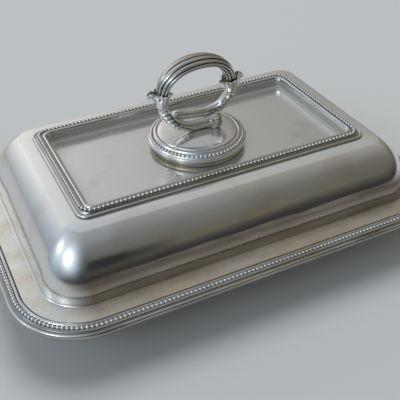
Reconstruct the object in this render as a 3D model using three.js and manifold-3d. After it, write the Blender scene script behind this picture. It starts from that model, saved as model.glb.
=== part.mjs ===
// Oblong silver entree dish: a dish with a beaded rim, a raised cover with a sunken
// top panel, and a reeded ring handle that turns to unlock from the cover.
// Millimetres, +Z up, X along the dish, origin on the table under its centre.

import * as THREE from 'three';
import { mergeVertices } from 'three/addons/utils/BufferGeometryUtils.js';
import Module from 'manifold-3d';

// Plan of the sunken panel
const panelLength = 180.2;
const panelWidth = 87.4;

// Corner radii of the cover at its flange's edge, its shoulder, the end of its shelf and
// the well
const cornerRadius = 37;
const shoulderCornerRadius = 10.5;
const seatCornerRadius = 8;
const topCornerRadius = 5;

// Clearances
const seatGap = 0.3;
const flangeGap = 0.7;
const lockClearance = 0.6;
const lugClearance = 0.4;
const branchClearance = 0.8;

// Dish
const rimHeight = 36;
const dishWall = 1.3;
const floorInset = 35;
const floorCornerRadius = 15;
const heelWidth = 8;
const heelHeight = 7;
const ledgeWidth = 13;

// Cover
const coverWall = 1.2;
const flangeWidth = 10.2;
const hollowWidth = 1.6;
const hollowHeight = 1.6;
const domeWidth = 20.1;
const domeHeight = 34.2;
const shelfWidth = 7.8;
const shelfRise = 0.9;
const wellLipWidth = 8.9;
const wellDepth = 4.4;
const wellDraft = 0.5;
const wellCoveRadius = 2.8;

// Border mounts
const rimMountWidth = 8.2;
const rimMountDepth = 5.4;
const rimTongueWidth = 4;
const rimTongueThickness = 1.2;
const topMountHeight = 3.1;

// Pearl bead borders
const beadPitch = 2.68;
const beadWidth = 2.5;
const beadHeight = 1.5;

// Handle base
const plateRadius = 32.6;
const plateWall = 1.4;
const plateEdgeHeight = 1.7;
const plateBorderWidth = 5.6;
const plateBorderRise = 4;
const plateDomeRise = 2;
const skirtInset = 1.4;
const skirtWall = 1;
const skirtHeight = 3.6;

// Bayonet lock under the handle base
const lockRingRadius = 22;
const lockRingWall = 1.5;
const lockLipWidth = 4.5;
const lockLipThickness = 1.3;
const lockTubeWall = 1.5;
const lugThickness = 1.7;
const lugAngle = 30;
const notchPlayAngle = 8;
const unlockAngle = 60;
const stopPinRadius = 0.9;

// Ring of the handle
const ringHalfWidth = 23.6;
const archRise = 21.4;
const branchDrop = 21.2;
const archThickness = 7;
const archBandWidth = 11.4;
const reedCount = 10;
const reedDepth = 0.55;
const branchRadius = 3.2;
const leafLength = 8;
const leafCupDepth = 3.4;
const leafOuterReach = 5.4;
const leafInnerReach = 3.3;
const leafSideReach = 1.2;
const endLeafLength = 5.6;
const endLeafRadius = 4.1;

// Screws that hold the ring on the plate
const screwRadius = 1.2;
const screwHeadRadius = 2.4;
const screwHeadHeight = 1.3;
const screwBite = 2.6;
const screwSpacing = 9;

// Facets
const cornerSteps = 6;
const turnSteps = 32;
const lockSteps = 24;
const screwSteps = 10;
const pinSteps = 8;
const overrun = 1;

const degree = Math.PI / 180;
const wasm = await Module();
wasm.setup();

// Heights and offsets worked out from the sizes. "Out" is the distance outward from
// the edge of the cover's flange, so it is negative over the cover.
const domeFootOut = -flangeWidth - hollowWidth;
const shoulderOut = domeFootOut - domeWidth;
const topSeatOut = shoulderOut - shelfWidth;
const wellOut = topSeatOut - wellLipWidth;
const coverLength = panelLength + 2 * (wellDraft - wellOut);
const coverWidth = panelWidth + 2 * (wellDraft - wellOut);
const domeFootZ = rimHeight + hollowHeight;
const shoulderZ = domeFootZ + domeHeight;
const topSeatZ = shoulderZ + shelfRise;
const panelZ = topSeatZ - wellDepth;
const ledgeTopZ = rimHeight - coverWall - seatGap;
const plateEdgeZ = panelZ + seatGap + skirtHeight + seatGap;
const plateBorderZ = plateEdgeZ + plateEdgeHeight;
const plateTopZ = plateBorderZ + plateBorderRise + plateDomeRise;
const branchBottomZ = plateTopZ + seatGap + branchRadius;
const ringCentreZ = branchBottomZ + branchDrop;
const branchSpacing = 2 * branchRadius + branchClearance;
const skirtRadius = plateRadius - skirtInset;
const lockTubeRadius = lockRingRadius - lockLipWidth - lockClearance;

// A closed body lofted through rings of points. Rings turn anticlockwise about the
// way that they advance, and a strip that meets itself has no caps.
function loftRings(rings, meetsItself = false) {
  const count = rings[0].length;
  const points = rings.flat();
  const indices = [];
  const spans = meetsItself ? rings.length : rings.length - 1;
  for (let i = 0; i < spans; i += 1) {
    const here = i * count;
    const next = ((i + 1) % rings.length) * count;
    for (let j = 0; j < count; j += 1) {
      const k = (j + 1) % count;
      indices.push(here + j, here + k, next + k);
      indices.push(here + j, next + k, next + j);
    }
  }
  if (!meetsItself) {
    const first = points.length;
    const last = first + 1;
    const start = (rings.length - 1) * count;
    points.push(centreOf(rings[0]), centreOf(rings[rings.length - 1]));
    for (let j = 0; j < count; j += 1) {
      const k = (j + 1) % count;
      indices.push(first, k, j);
      indices.push(last, start + j, start + k);
    }
  }
  const geometry = new THREE.BufferGeometry().setFromPoints(points);
  geometry.setIndex(indices);
  return geometry;
}

function centreOf(ring) {
  const centre = new THREE.Vector3();
  ring.forEach((point) => centre.add(point));
  return centre.divideScalar(ring.length);
}

// Second value at a first value of a list that runs inward, straight between its points
function valueAt(list, place) {
  const inner = list.findIndex(([at]) => at < place);
  const [to, high] = list[inner];
  const [from, low] = list[inner - 1];
  return low + ((high - low) * (place - from)) / (to - from);
}

// Corner radius at a distance out. The rim's borders share one corner centre; on the
// cover the radius falls more slowly than the sides come in.
const coverCorners = [
  [0, cornerRadius],
  [domeFootOut, cornerRadius + domeFootOut],
  [shoulderOut, shoulderCornerRadius],
  [topSeatOut, seatCornerRadius],
  [wellOut, topCornerRadius],
  [-coverWidth / 2, topCornerRadius],
];
const rimCorner = (out) => cornerRadius + out;
const dishCorner = (out) => Math.max(cornerRadius + out, floorCornerRadius);
const coverCorner = (out) => valueAt(coverCorners, out);

// Rounded oblong at a distance out from the flange edge
function oblong(out, cornerAt) {
  const radius = cornerAt(out);
  return { radius, x: coverLength / 2 + out - radius, y: coverWidth / 2 + out - radius };
}

const cornerSigns = [[1, 1], [-1, 1], [-1, -1], [1, -1]];

function oblongRing(out, z, cornerAt) {
  const { radius, x, y } = oblong(out, cornerAt);
  return cornerSigns.flatMap(([signX, signY], corner) => {
    const points = [];
    for (let step = 0; step <= cornerSteps; step += 1) {
      const angle = (corner + step / cornerSteps) * 90 * degree;
      points.push(new THREE.Vector3(
        signX * x + radius * Math.cos(angle),
        signY * y + radius * Math.sin(angle),
        z,
      ));
    }
    return points;
  });
}

function loftProfile(profile, cornerAt, meetsItself = false) {
  const rings = profile.map(([out, z]) => oblongRing(out, z, cornerAt));
  return loftRings(rings, meetsItself);
}

// Part of an oval from one profile point to another, between two angles of the oval
function bow([out0, z0], [out1, z1], fromDegrees, toDegrees, steps) {
  const points = [];
  const a0 = fromDegrees * degree;
  const a1 = toDegrees * degree;
  for (let step = 1; step <= steps; step += 1) {
    const angle = a0 + ((a1 - a0) * step) / steps;
    const across = (Math.cos(a0) - Math.cos(angle)) / (Math.cos(a0) - Math.cos(a1));
    const up = (Math.sin(angle) - Math.sin(a0)) / (Math.sin(a1) - Math.sin(a0));
    points.push([out0 + (out1 - out0) * across, z0 + (z1 - z0) * up]);
  }
  return points;
}

// The same profile moved to its left by the thickness of the metal
function offsetProfile(profile, distance) {
  const normals = profile.slice(1).map(([out, z], i) => {
    const along = new THREE.Vector2(out - profile[i][0], z - profile[i][1]).normalize();
    return new THREE.Vector2(-along.y, along.x);
  });
  return profile.map(([out, z], i) => {
    const before = normals[Math.max(i - 1, 0)];
    const after = normals[Math.min(i, normals.length - 1)];
    const mitre = before.clone().add(after).divideScalar(1 + before.dot(after));
    return [out + mitre.x * distance, z + mitre.y * distance];
  });
}

// Point and outward normal at a distance along a rounded oblong, and its length
function oblongPath(out, cornerAt) {
  const { radius, x, y } = oblong(out, cornerAt);
  const arc = radius * 90 * degree;
  const sides = [2 * y, 2 * x, 2 * y, 2 * x];
  const length = 4 * arc + 4 * (x + y);
  const at = (distance) => {
    let left = distance;
    for (let i = 0; i < sides.length; i += 1) {
      const angle = i * 90 * degree;
      const [signX, signY] = cornerSigns[i];
      if (left <= arc) {
        const turned = angle + left / radius;
        const normal = new THREE.Vector3(Math.cos(turned), Math.sin(turned), 0);
        return { normal, point: new THREE.Vector3(signX * x, signY * y, 0).addScaledVector(normal, radius) };
      }
      left -= arc;
      const side = sides[(i + 1) % 4];
      if (left <= side) {
        const end = angle + 90 * degree;
        const normal = new THREE.Vector3(Math.cos(end), Math.sin(end), 0);
        const along = new THREE.Vector3(-normal.y, normal.x, 0);
        const corner = new THREE.Vector3(signX * x, signY * y, 0).addScaledVector(normal, radius);
        return { normal, point: corner.addScaledVector(along, left) };
      }
      left -= side;
    }
    return at(0);
  };
  return { length, at };
}

function circlePath(radius) {
  const at = (distance) => {
    const angle = distance / radius;
    const normal = new THREE.Vector3(Math.cos(angle), Math.sin(angle), 0);
    return { normal, point: normal.clone().multiplyScalar(radius) };
  };
  return { length: 2 * Math.PI * radius, at };
}

// Drawn wire of half-round pearls, joined by narrow necks, on a seat that may tilt
const beadNeckShare = 0.42;
function beadWire(path, seatZ, tilt) {
  const count = Math.round(path.length / beadPitch);
  const rings = [];
  for (let i = 0; i < 2 * count; i += 1) {
    const { point, normal } = path.at((path.length * i) / (2 * count));
    const size = i % 2 === 0 ? 1 : beadNeckShare;
    const across = normal.clone().multiplyScalar(Math.cos(tilt));
    across.z = -Math.sin(tilt);
    const up = normal.clone().multiplyScalar(Math.sin(tilt));
    up.z = Math.cos(tilt);
    const base = point.clone();
    base.z = seatZ;
    base.addScaledVector(up, seatGap);
    const half = (beadWidth / 2) * size;
    rings.push([
      base.clone().addScaledVector(up, beadHeight * size),
      base.clone().addScaledVector(across, half),
      base.clone().addScaledVector(across, -half),
    ]);
  }
  return loftRings(rings, true);
}

// A turned piece from a profile of radius and height, going round its section with
// the metal on the left
function turned(profile, steps = turnSteps) {
  const points = profile.map(([radius, z]) => new THREE.Vector2(radius, z));
  return new THREE.LatheGeometry(points, steps).rotateX(90 * degree);
}

function turnedRing(profile, steps = turnSteps) {
  return turned([...profile, profile[0]], steps);
}

function toManifold(geometry) {
  const bare = geometry.clone();
  bare.deleteAttribute('normal');
  bare.deleteAttribute('uv');
  const merged = mergeVertices(bare);
  return new wasm.Manifold(new wasm.Mesh({
    numProp: 3,
    vertProperties: new Float32Array(merged.attributes.position.array),
    triVerts: new Uint32Array(merged.index.array),
  }));
}

function fromManifold(solid) {
  const mesh = solid.getMesh();
  const geometry = new THREE.BufferGeometry();
  geometry.setAttribute('position', new THREE.BufferAttribute(mesh.vertProperties, 3));
  geometry.setIndex(new THREE.BufferAttribute(mesh.triVerts, 1));
  return geometry;
}

function cut(geometry, tools) {
  const left = tools.reduce((solid, tool) => solid.subtract(toManifold(tool)), toManifold(geometry));
  return fromManifold(left);
}

function pin(radius, bottom, top, x, y) {
  const geometry = new THREE.CylinderGeometry(radius, radius, top - bottom, pinSteps);
  return geometry.rotateX(90 * degree).translate(x, y, (bottom + top) / 2);
}

// A block between two radii, centred on a bearing
function sector(inner, outer, bearing, angle, bottom, top) {
  const from = (bearing - angle / 2) * degree;
  const to = (bearing + angle / 2) * degree;
  const shape = new THREE.Shape();
  shape.absarc(0, 0, outer, from, to, false);
  shape.absarc(0, 0, inner, to, from, true);
  const options = { depth: top - bottom, bevelEnabled: false, curveSegments: 4 };
  return new THREE.ExtrudeGeometry(shape, options).translate(0, 0, bottom);
}

// Dish

// Underside of the dish from the middle of its floor to the edge of its ledge
function dishProfile(heelSteps, wallSteps) {
  const underLedgeZ = ledgeTopZ - dishWall;
  const heelTop = [-floorInset + heelWidth, heelHeight];
  return [
    [-floorInset - heelWidth, 0],
    [-floorInset, 0],
    ...bow([-floorInset, 0], heelTop, 90, 10, heelSteps),
    ...bow(heelTop, [-ledgeWidth, underLedgeZ], 12, 55, wallSteps),
    [flangeGap - seatGap, underLedgeZ],
  ];
}

function makeDishBody() {
  const inside = offsetProfile(dishProfile(2, 2), dishWall).reverse();
  return loftProfile([...dishProfile(4, 3), ...inside], dishCorner);
}

// Section of the rim's border wire: shares of its width across and of its depth up.
// The beads lie on the flat land in its middle.
const rimLandShares = [0.26, 0.57];
const rimSeatShare = 0.98;
const rimMountShares = [
  [0.78, 0.2], [0.9, 0], [1, 0.34], [0.95, 0.62], [0.83, 0.75], [0.66, 0.64],
  [rimLandShares[1], rimSeatShare], [rimLandShares[0], rimSeatShare], [0.17, 1.14], [0, 1.06],
];

function makeRimMount() {
  const bottom = rimHeight - rimMountDepth;
  const tongueTop = ledgeTopZ - dishWall - seatGap;
  const inner = flangeGap;
  const profile = [
    [inner - rimTongueWidth, tongueTop - rimTongueThickness],
    ...rimMountShares.map(([across, up]) => [inner + rimMountWidth * across, bottom + rimMountDepth * up]),
    [inner, tongueTop],
    [inner - rimTongueWidth, tongueTop],
  ];
  return loftProfile(profile, rimCorner, true);
}

function makeRimBeads() {
  const landShare = (rimLandShares[0] + rimLandShares[1]) / 2;
  const path = oblongPath(flangeGap + rimMountWidth * landShare, rimCorner);
  return beadWire(path, rimHeight - rimMountDepth * (1 - rimSeatShare), 0);
}

// Cover

// Profile of the cover from its edge to the middle of its panel
function coverProfile(hollowSteps, domeSteps, coveSteps) {
  const domeFoot = [domeFootOut, domeFootZ];
  const wallFoot = [wellOut - wellDraft, panelZ + wellCoveRadius];
  const panelEdge = [wellOut - wellDraft - wellCoveRadius, panelZ];
  return [
    [0, rimHeight],
    [-flangeWidth, rimHeight],
    ...bow([-flangeWidth, rimHeight], domeFoot, 90, 175, hollowSteps),
    ...bow(domeFoot, [shoulderOut, shoulderZ], 4, 60, domeSteps),
    [topSeatOut, topSeatZ],
    [wellOut, topSeatZ],
    wallFoot,
    ...bow(wallFoot, panelEdge, 180, 270, coveSteps),
    [wellOut - wellDraft - wellCoveRadius - wellDepth, panelZ],
  ];
}

function makeCoverBody() {
  const hidden = offsetProfile(coverProfile(1, 3, 1), coverWall).reverse();
  return loftProfile([...hidden, ...coverProfile(2, 7, 2)], coverCorner);
}

// Section of the moulding round the sunken panel, from its foot inward. Its beads lie
// on the flat land between the two fillets.
const topLandShares = [0.32, 0.72];
const topSeatShare = 0.7;
const topMountShares = [
  [0, 0], [0.01, 0.2], [0.07, 0.42], [0.14, 0.45], [0.2, 0.33], [0.26, 0.33],
  [topLandShares[0], topSeatShare], [topLandShares[1], topSeatShare], [0.8, 1], [1, 0.88],
];
const topMountFoot = topSeatOut - seatGap;
const topMountWidth = wellLipWidth - 2 * seatGap;

function makeTopMount() {
  const bottom = topSeatZ + seatGap;
  const profile = [
    [topMountFoot - topMountWidth, bottom],
    ...topMountShares.map(([across, up]) => [
      topMountFoot - topMountWidth * across,
      bottom + topMountHeight * up,
    ]),
  ];
  return loftProfile(profile, coverCorner, true);
}

function makeTopBeads() {
  const landShare = (topLandShares[0] + topLandShares[1]) / 2;
  const path = oblongPath(topMountFoot - topMountWidth * landShare, coverCorner);
  return beadWire(path, topSeatZ + seatGap + topMountHeight * topSeatShare, 0);
}

const lugBottomZ = panelZ + seatGap + lugClearance;
const lugTopZ = lugBottomZ + lugThickness;
const lugReach = lockRingRadius - lockRingWall - lugClearance;

// Bayonet socket soldered on the panel: the lugs drop through two notches in its lip
function makeLockRing() {
  const bottom = panelZ + seatGap;
  const top = lugTopZ + lugClearance + lockLipThickness;
  const lip = lockRingRadius - lockLipWidth;
  const channel = lockRingRadius - lockRingWall;
  const ring = turnedRing([
    [channel, bottom],
    [lockRingRadius, bottom],
    [lockRingRadius, top],
    [lip, top],
    [lip, top - lockLipThickness],
    [channel, top - lockLipThickness],
  ], lockSteps);
  const notchAngle = lugAngle + notchPlayAngle;
  const notches = [unlockAngle, unlockAngle + 180].map((bearing) => (
    sector(lip - overrun, channel, bearing, notchAngle, top - lockLipThickness - overrun, top + overrun)
  ));
  return cut(ring, notches);
}

// One pin stops the locked lug, the other stops its twin at the notch
function makeLockStops() {
  const reach = (lockTubeRadius + lockRingRadius - lockRingWall) / 2;
  const clear = Math.asin((stopPinRadius + seatGap) / reach) / degree;
  const bearings = [-lugAngle / 2 - clear, 180 + unlockAngle + lugAngle / 2 + clear];
  return bearings.map((bearing) => pin(
    stopPinRadius,
    panelZ + seatGap,
    lugTopZ,
    reach * Math.cos(bearing * degree),
    reach * Math.sin(bearing * degree),
  ));
}

// Handle base

const plateInnerRadius = plateRadius - plateBorderWidth;
// Top of the plate from its rolled edge inward, shares of the border's width and rise
const plateEdgeShares = [[0.04, 0], [0, 0.5], [0.1, 0.9]];
const plateBorderShares = [[0.17, 0.04], [0.6, 0.62], [0.66, 0.86], [0.86, 1.02]];
const plateDomeShares = [[1, 0], [0.6, 0.64], [0, 1]];
const plateCavityShare = 0.82;
const plateBeadShare = 0.39;

const plateEdge = plateEdgeShares.map(([across, up]) => [
  plateRadius - plateBorderWidth * across,
  plateEdgeZ + plateEdgeHeight * up,
]);
const plateBorder = plateBorderShares.map(([across, up]) => [
  plateRadius - plateBorderWidth * across,
  plateBorderZ + plateBorderRise * up,
]);
const plateDome = plateDomeShares.map(([across, up]) => [
  plateInnerRadius * across,
  plateBorderZ + plateBorderRise + plateDomeRise * up,
]);

const screwPlaces = [-screwSpacing / 2, screwSpacing / 2].map((x) => [x, -branchSpacing / 2]);

function makePlate() {
  const cavityRadius = plateRadius - plateBorderWidth * plateCavityShare;
  const underside = plateDome.map(([radius, z]) => [radius, z - plateWall]).reverse();
  const plate = turned([
    ...underside,
    [cavityRadius, plateBorderZ],
    [cavityRadius, plateEdgeZ],
    ...plateEdge,
    ...plateBorder,
    ...plateDome,
  ]);
  const holes = screwPlaces.map(([x, y]) => (
    pin(screwRadius + seatGap, plateEdgeZ, plateTopZ + overrun, x, y)
  ));
  return cut(plate, holes);
}

function makePlateBeads() {
  const radius = plateRadius - plateBorderWidth * plateBeadShare;
  const [[footRadius, footZ], [crestRadius, crestZ]] = plateBorder;
  const slope = Math.atan2(crestZ - footZ, footRadius - crestRadius);
  return beadWire(circlePath(radius), valueAt(plateBorder, radius), slope);
}

function makeSkirt() {
  const bottom = panelZ + seatGap;
  const top = bottom + skirtHeight;
  return turnedRing([
    [skirtRadius - skirtWall, bottom],
    [skirtRadius, bottom],
    [skirtRadius, top],
    [skirtRadius - skirtWall, top],
  ]);
}

function makeLockTube() {
  const top = valueAt(plateDome, lockTubeRadius) - plateWall - seatGap;
  return turnedRing([
    [lockTubeRadius - lockTubeWall, lugBottomZ],
    [lockTubeRadius, lugBottomZ],
    [lockTubeRadius, top],
    [lockTubeRadius - lockTubeWall, top],
  ], lockSteps);
}

function makeLugs() {
  return [0, 180].map((bearing) => (
    sector(lockTubeRadius + seatGap, lugReach, bearing, lugAngle, lugBottomZ, lugTopZ)
  ));
}

// Ring of the handle

// A body swept through places on a curve. Each place has a centre, the outward and
// sideways axes of its section, and the section's points.
function sweep(places) {
  return loftRings(places.map(({ centre, outward, sideways, section }) => (
    section.map(([o, s]) => centre.clone().addScaledVector(outward, o).addScaledVector(sideways, s))
  )));
}

function ovalSection(halfThickness, halfWidth, count) {
  const points = [];
  for (let i = 0; i < count; i += 1) {
    const angle = (i / count) * 360 * degree;
    points.push([halfThickness * Math.cos(angle), halfWidth * Math.sin(angle)]);
  }
  return points;
}

// Round-topped reeds side by side all round an oval
const reedShares = [0, 1];
function reededSection(halfThickness, halfWidth) {
  const points = [];
  const count = reedCount * reedShares.length;
  for (let i = 0; i < count; i += 1) {
    const angle = (i / count) * 360 * degree;
    const lift = reedDepth * (reedShares[i % reedShares.length] - 1);
    points.push([(halfThickness + lift) * Math.cos(angle), (halfWidth + lift) * Math.sin(angle)]);
  }
  return points;
}

function archTangent(angle) {
  const along = new THREE.Vector3(-ringHalfWidth * Math.sin(angle), 0, archRise * Math.cos(angle));
  return along.normalize();
}

// Place on the oval of the ring's upper part, by its angle up from the +X side
function archPlace(angle, section) {
  const sideways = new THREE.Vector3(0, -1, 0);
  const outward = sideways.clone().cross(archTangent(angle));
  const centre = new THREE.Vector3(
    ringHalfWidth * Math.cos(angle),
    0,
    ringCentreZ + archRise * Math.sin(angle),
  );
  return { centre, outward, sideways, section };
}

const archSteps = 18;
const leafTopAngle = leafLength / 2 / archRise;
const archStartAngle = leafTopAngle + seatGap / archRise;

function makeArch() {
  const places = [];
  for (let i = 0; i <= archSteps; i += 1) {
    const angle = archStartAngle + ((Math.PI - 2 * archStartAngle) * i) / archSteps;
    places.push(archPlace(angle, reededSection(archThickness / 2, archBandWidth / 2)));
  }
  return sweep(places);
}

// Leaf cup between arch and branch. Each row: share of the length along the ring, how
// far the section has grown from the branch's to the arch's, and how far the leaf
// tips have curled out.
const leafRowShares = [
  [0, 0, 0], [0.25, 0.45, 0], [0.52, 0.88, 0.12], [0.8, 1.12, 0.5], [1.04, 1.2, 1], [1.16, 1.18, 0.8],
];
const leafFloorShare = 0.9;
const leafPointCount = 20;
const leafTipPower = 5;

function leafSection(growth, curl, inset) {
  const points = [];
  for (let i = 0; i < leafPointCount; i += 1) {
    const angle = (i / leafPointCount) * 360 * degree;
    const c = Math.cos(angle);
    const s = Math.sin(angle);
    const thickness = branchRadius + (archThickness / 2 - branchRadius) * growth;
    const width = branchRadius + (archBandWidth / 2 - branchRadius) * growth;
    const tip = curl * (
      leafOuterReach * Math.max(c, 0) ** leafTipPower
      + leafInnerReach * Math.max(-c, 0) ** leafTipPower
      + leafSideReach * Math.abs(s) ** leafTipPower
    );
    points.push([(thickness + tip - inset) * c, (width + tip - inset) * s]);
  }
  return points;
}

function makeRightLeaf() {
  const angleAt = (share) => (leafLength * (share - 0.5)) / archRise;
  const outer = leafRowShares.map(([along, growth, curl]) => (
    archPlace(angleAt(along), leafSection(growth, curl, 0))
  ));
  const rim = (leafLength / 2 + leafCupDepth) / archRise;
  const bore = -2 * seatGap;
  return sweep([
    ...outer,
    archPlace(rim * leafFloorShare, leafSection(1, 0, bore)),
    archPlace(leafTopAngle, leafSection(1, 0, bore)),
  ]);
}

function mirrored(geometry) {
  const copy = geometry.clone().scale(-1, 1, 1);
  const index = copy.index.array;
  for (let i = 0; i < index.length; i += 3) {
    [index[i], index[i + 1]] = [index[i + 1], index[i]];
  }
  return copy;
}

// Branches leave the leaves square to them. Their routes then are shares of the ring's
// half width, of half the branch spacing and of the drop.
const frontRouteShares = [
  [-0.9, 0.25, -0.47], [-0.7, 0.65, -0.77], [-0.4, 0.95, -0.95], [-0.1, 1, -1], [0.37, 1, -1],
];
const rearRouteShares = [
  [0.92, 0.25, -0.43], [0.74, 0.65, -0.69], [0.44, 0.95, -0.82], [0.1, 1, -0.82],
  [-0.3, 1, -0.76], [-0.66, 1, -0.68],
];
const branchSteps = 13;
const branchSides = 10;
const branchLeadShare = 0.6;

function branchPlaces(routeShares, side, radiusAt) {
  const turn = (leafLength / 2 + seatGap) / archRise;
  const angle = side < 0 ? Math.PI + turn : -turn;
  const start = archPlace(angle, []).centre;
  const lead = archTangent(angle).multiplyScalar(-side * branchRadius * branchLeadShare);
  const points = routeShares.map(([x, y, z]) => new THREE.Vector3(
    ringHalfWidth * x,
    (branchSpacing / 2) * y * side,
    ringCentreZ + branchDrop * z,
  ));
  const curve = new THREE.CatmullRomCurve3([start, start.clone().add(lead), ...points]);
  const places = [];
  for (let i = 0; i <= branchSteps; i += 1) {
    const share = i / branchSteps;
    const tangent = curve.getTangentAt(share);
    const sideways = new THREE.Vector3(0, 1, 0).addScaledVector(tangent, -tangent.y).normalize();
    const outward = sideways.clone().cross(tangent);
    const radius = radiusAt(share);
    places.push({
      centre: curve.getPointAt(share),
      outward,
      sideways,
      section: ovalSection(radius, radius, branchSides),
    });
  }
  return places;
}

function makeFrontBranch() {
  const branch = sweep(branchPlaces(frontRouteShares, -1, () => branchRadius));
  const holes = screwPlaces.map(([x, y]) => (
    pin(screwRadius + seatGap, plateTopZ - overrun, branchBottomZ - branchRadius + screwBite + seatGap, x, y)
  ));
  return cut(branch, holes);
}

const tongueShares = [[0.8, 1], [0.9, 1.1], [0.97, 0.8], [1, 0.35]];
function tongueRadius(share) {
  const last = tongueShares.findIndex(([at]) => at >= share);
  if (last <= 0) {
    return branchRadius;
  }
  const [from, low] = tongueShares[last - 1];
  const [to, high] = tongueShares[last];
  return branchRadius * (low + ((high - low) * (share - from)) / (to - from));
}

function makeRearBranch() {
  return sweep(branchPlaces(rearRouteShares, 1, tongueRadius));
}

// Leaf bell on the end of the front branch, with a button in its mouth. Each row:
// shares of its length and radius, and the share by which its lobes swell.
const endLeafShares = [
  [0, 0.78, 0], [0.3, 0.86, 0.04], [0.7, 1, 0.1], [1, 1.02, 0.1],
  [1.04, 0.8, 0.1], [0.96, 0.5, 0], [1.1, 0.3, 0],
];
const endLeafLobes = 6;
function makeEndLeaf() {
  const [endX, , endZ] = frontRouteShares[frontRouteShares.length - 1];
  const centre = new THREE.Vector3(
    ringHalfWidth * endX + seatGap,
    branchRadius - endLeafRadius - branchSpacing / 2,
    ringCentreZ + branchDrop * endZ + endLeafRadius - branchRadius,
  );
  const outward = new THREE.Vector3(0, 0, -1);
  const sideways = new THREE.Vector3(0, 1, 0);
  return sweep(endLeafShares.map(([along, size, swell]) => {
    const section = [];
    for (let i = 0; i < leafPointCount; i += 1) {
      const angle = (i / leafPointCount) * 360 * degree;
      const lobe = 1 + swell * Math.cos(endLeafLobes * angle);
      const radius = endLeafRadius * size * lobe;
      section.push([radius * Math.cos(angle), radius * Math.sin(angle)]);
    }
    const place = centre.clone();
    place.x += endLeafLength * along;
    return { centre: place, outward, sideways, section };
  }));
}

function makeScrews() {
  const reach = Math.hypot(screwSpacing / 2, branchSpacing / 2) + screwHeadRadius;
  const headTop = valueAt(plateDome, reach) - plateWall - seatGap;
  const top = branchBottomZ - branchRadius + screwBite;
  const screw = turned([
    [0, headTop - screwHeadHeight],
    [screwHeadRadius, headTop - screwHeadHeight],
    [screwHeadRadius, headTop],
    [screwRadius, headTop],
    [screwRadius, top],
    [0, top],
  ], screwSteps);
  return screwPlaces.map(([x, y]) => screw.clone().translate(x, y, 0));
}

// Assembly

const polished = new THREE.MeshStandardMaterial({ color: 0xc9c7bf, roughness: 0.2, metalness: 1 });
const worn = new THREE.MeshStandardMaterial({ color: 0xbdb8a8, roughness: 0.35, metalness: 1 });
const beaded = new THREE.MeshStandardMaterial({ color: 0xd4d4d0, roughness: 0.28, metalness: 1 });
const bronze = new THREE.MeshStandardMaterial({ color: 0x9a8a66, roughness: 0.45, metalness: 1 });

function named(name, geometry, material) {
  geometry.computeVertexNormals();
  const mesh = new THREE.Mesh(geometry, material);
  mesh.name = name;
  return mesh;
}

const dish = new THREE.Group();
dish.add(named('dish_body', makeDishBody(), worn));
dish.add(named('dish_rim_mount', makeRimMount(), polished));
dish.add(named('dish_rim_beads', makeRimBeads(), beaded));

const cover = new THREE.Group();
cover.add(named('cover_body', makeCoverBody(), polished));
cover.add(named('cover_top_mount', makeTopMount(), polished));
cover.add(named('cover_top_beads', makeTopBeads(), beaded));
cover.add(named('cover_lock_ring', makeLockRing(), bronze));
makeLockStops().forEach((stop, i) => cover.add(named(`cover_lock_stop_${i + 1}`, stop, bronze)));

const handle = new THREE.Group();
handle.add(named('handle_plate', makePlate(), polished));
handle.add(named('handle_plate_beads', makePlateBeads(), beaded));
handle.add(named('handle_skirt', makeSkirt(), worn));
handle.add(named('handle_lock_tube', makeLockTube(), bronze));
makeLugs().forEach((lug, i) => handle.add(named(`handle_lock_lug_${i + 1}`, lug, bronze)));
handle.add(named('handle_arch', makeArch(), polished));
const rightLeaf = makeRightLeaf();
handle.add(named('handle_right_leaf', rightLeaf, polished));
handle.add(named('handle_left_leaf', mirrored(rightLeaf), polished));
handle.add(named('handle_front_branch', makeFrontBranch(), polished));
handle.add(named('handle_rear_branch', makeRearBranch(), polished));
handle.add(named('handle_end_leaf', makeEndLeaf(), worn));
makeScrews().forEach((screw, i) => handle.add(named(`handle_screw_${i + 1}`, screw, bronze)));

const entreeDish = new THREE.Group();
entreeDish.add(dish, cover, handle);

export default entreeDish;
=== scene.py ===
# %% [markdown]
# An oblong silver dish for vegetables, with a raised cover and a ring handle that
# turns to unlock. The imported solids give every size and every place. This notebook
# puts the fine surfaces over them: smooth bowed metal, pearls, reeds, leaves, the
# marks that a century of polishing leaves on silver, and painted shade in the hollows
# and painted dark reflections along the front.
#
# First the imported frame is loaded. Its box is kept, because nothing that is made here
# may grow past it.

import math

import bmesh
import bpy
from mathutils import Matrix, Vector


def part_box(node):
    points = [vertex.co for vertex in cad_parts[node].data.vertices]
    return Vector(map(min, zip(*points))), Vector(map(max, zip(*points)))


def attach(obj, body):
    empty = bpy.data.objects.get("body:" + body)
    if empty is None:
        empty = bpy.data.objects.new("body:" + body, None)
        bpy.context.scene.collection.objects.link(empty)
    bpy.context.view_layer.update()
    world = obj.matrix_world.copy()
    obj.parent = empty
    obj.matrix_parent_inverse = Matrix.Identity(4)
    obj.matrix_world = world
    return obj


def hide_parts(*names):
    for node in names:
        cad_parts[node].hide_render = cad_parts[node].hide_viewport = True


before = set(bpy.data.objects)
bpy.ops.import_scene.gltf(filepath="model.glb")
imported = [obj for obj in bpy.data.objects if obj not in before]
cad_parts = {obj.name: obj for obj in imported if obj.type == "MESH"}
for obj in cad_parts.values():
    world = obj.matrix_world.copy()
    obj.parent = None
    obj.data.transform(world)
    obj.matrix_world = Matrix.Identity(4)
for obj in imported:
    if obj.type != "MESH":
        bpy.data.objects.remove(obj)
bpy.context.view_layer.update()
scene = bpy.context.scene
scene.view_settings.view_transform = "Standard"
MM = 0.001

# %% [markdown]
# The camera stands a little to the left of the dish's front and looks down on it. Its
# place, its turn and its slight lean were worked out from the straight borders of the
# dish, which meet the frame at known angles. The lens is long, so the far side of the
# cover is nearly as wide as the near side.

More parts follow.
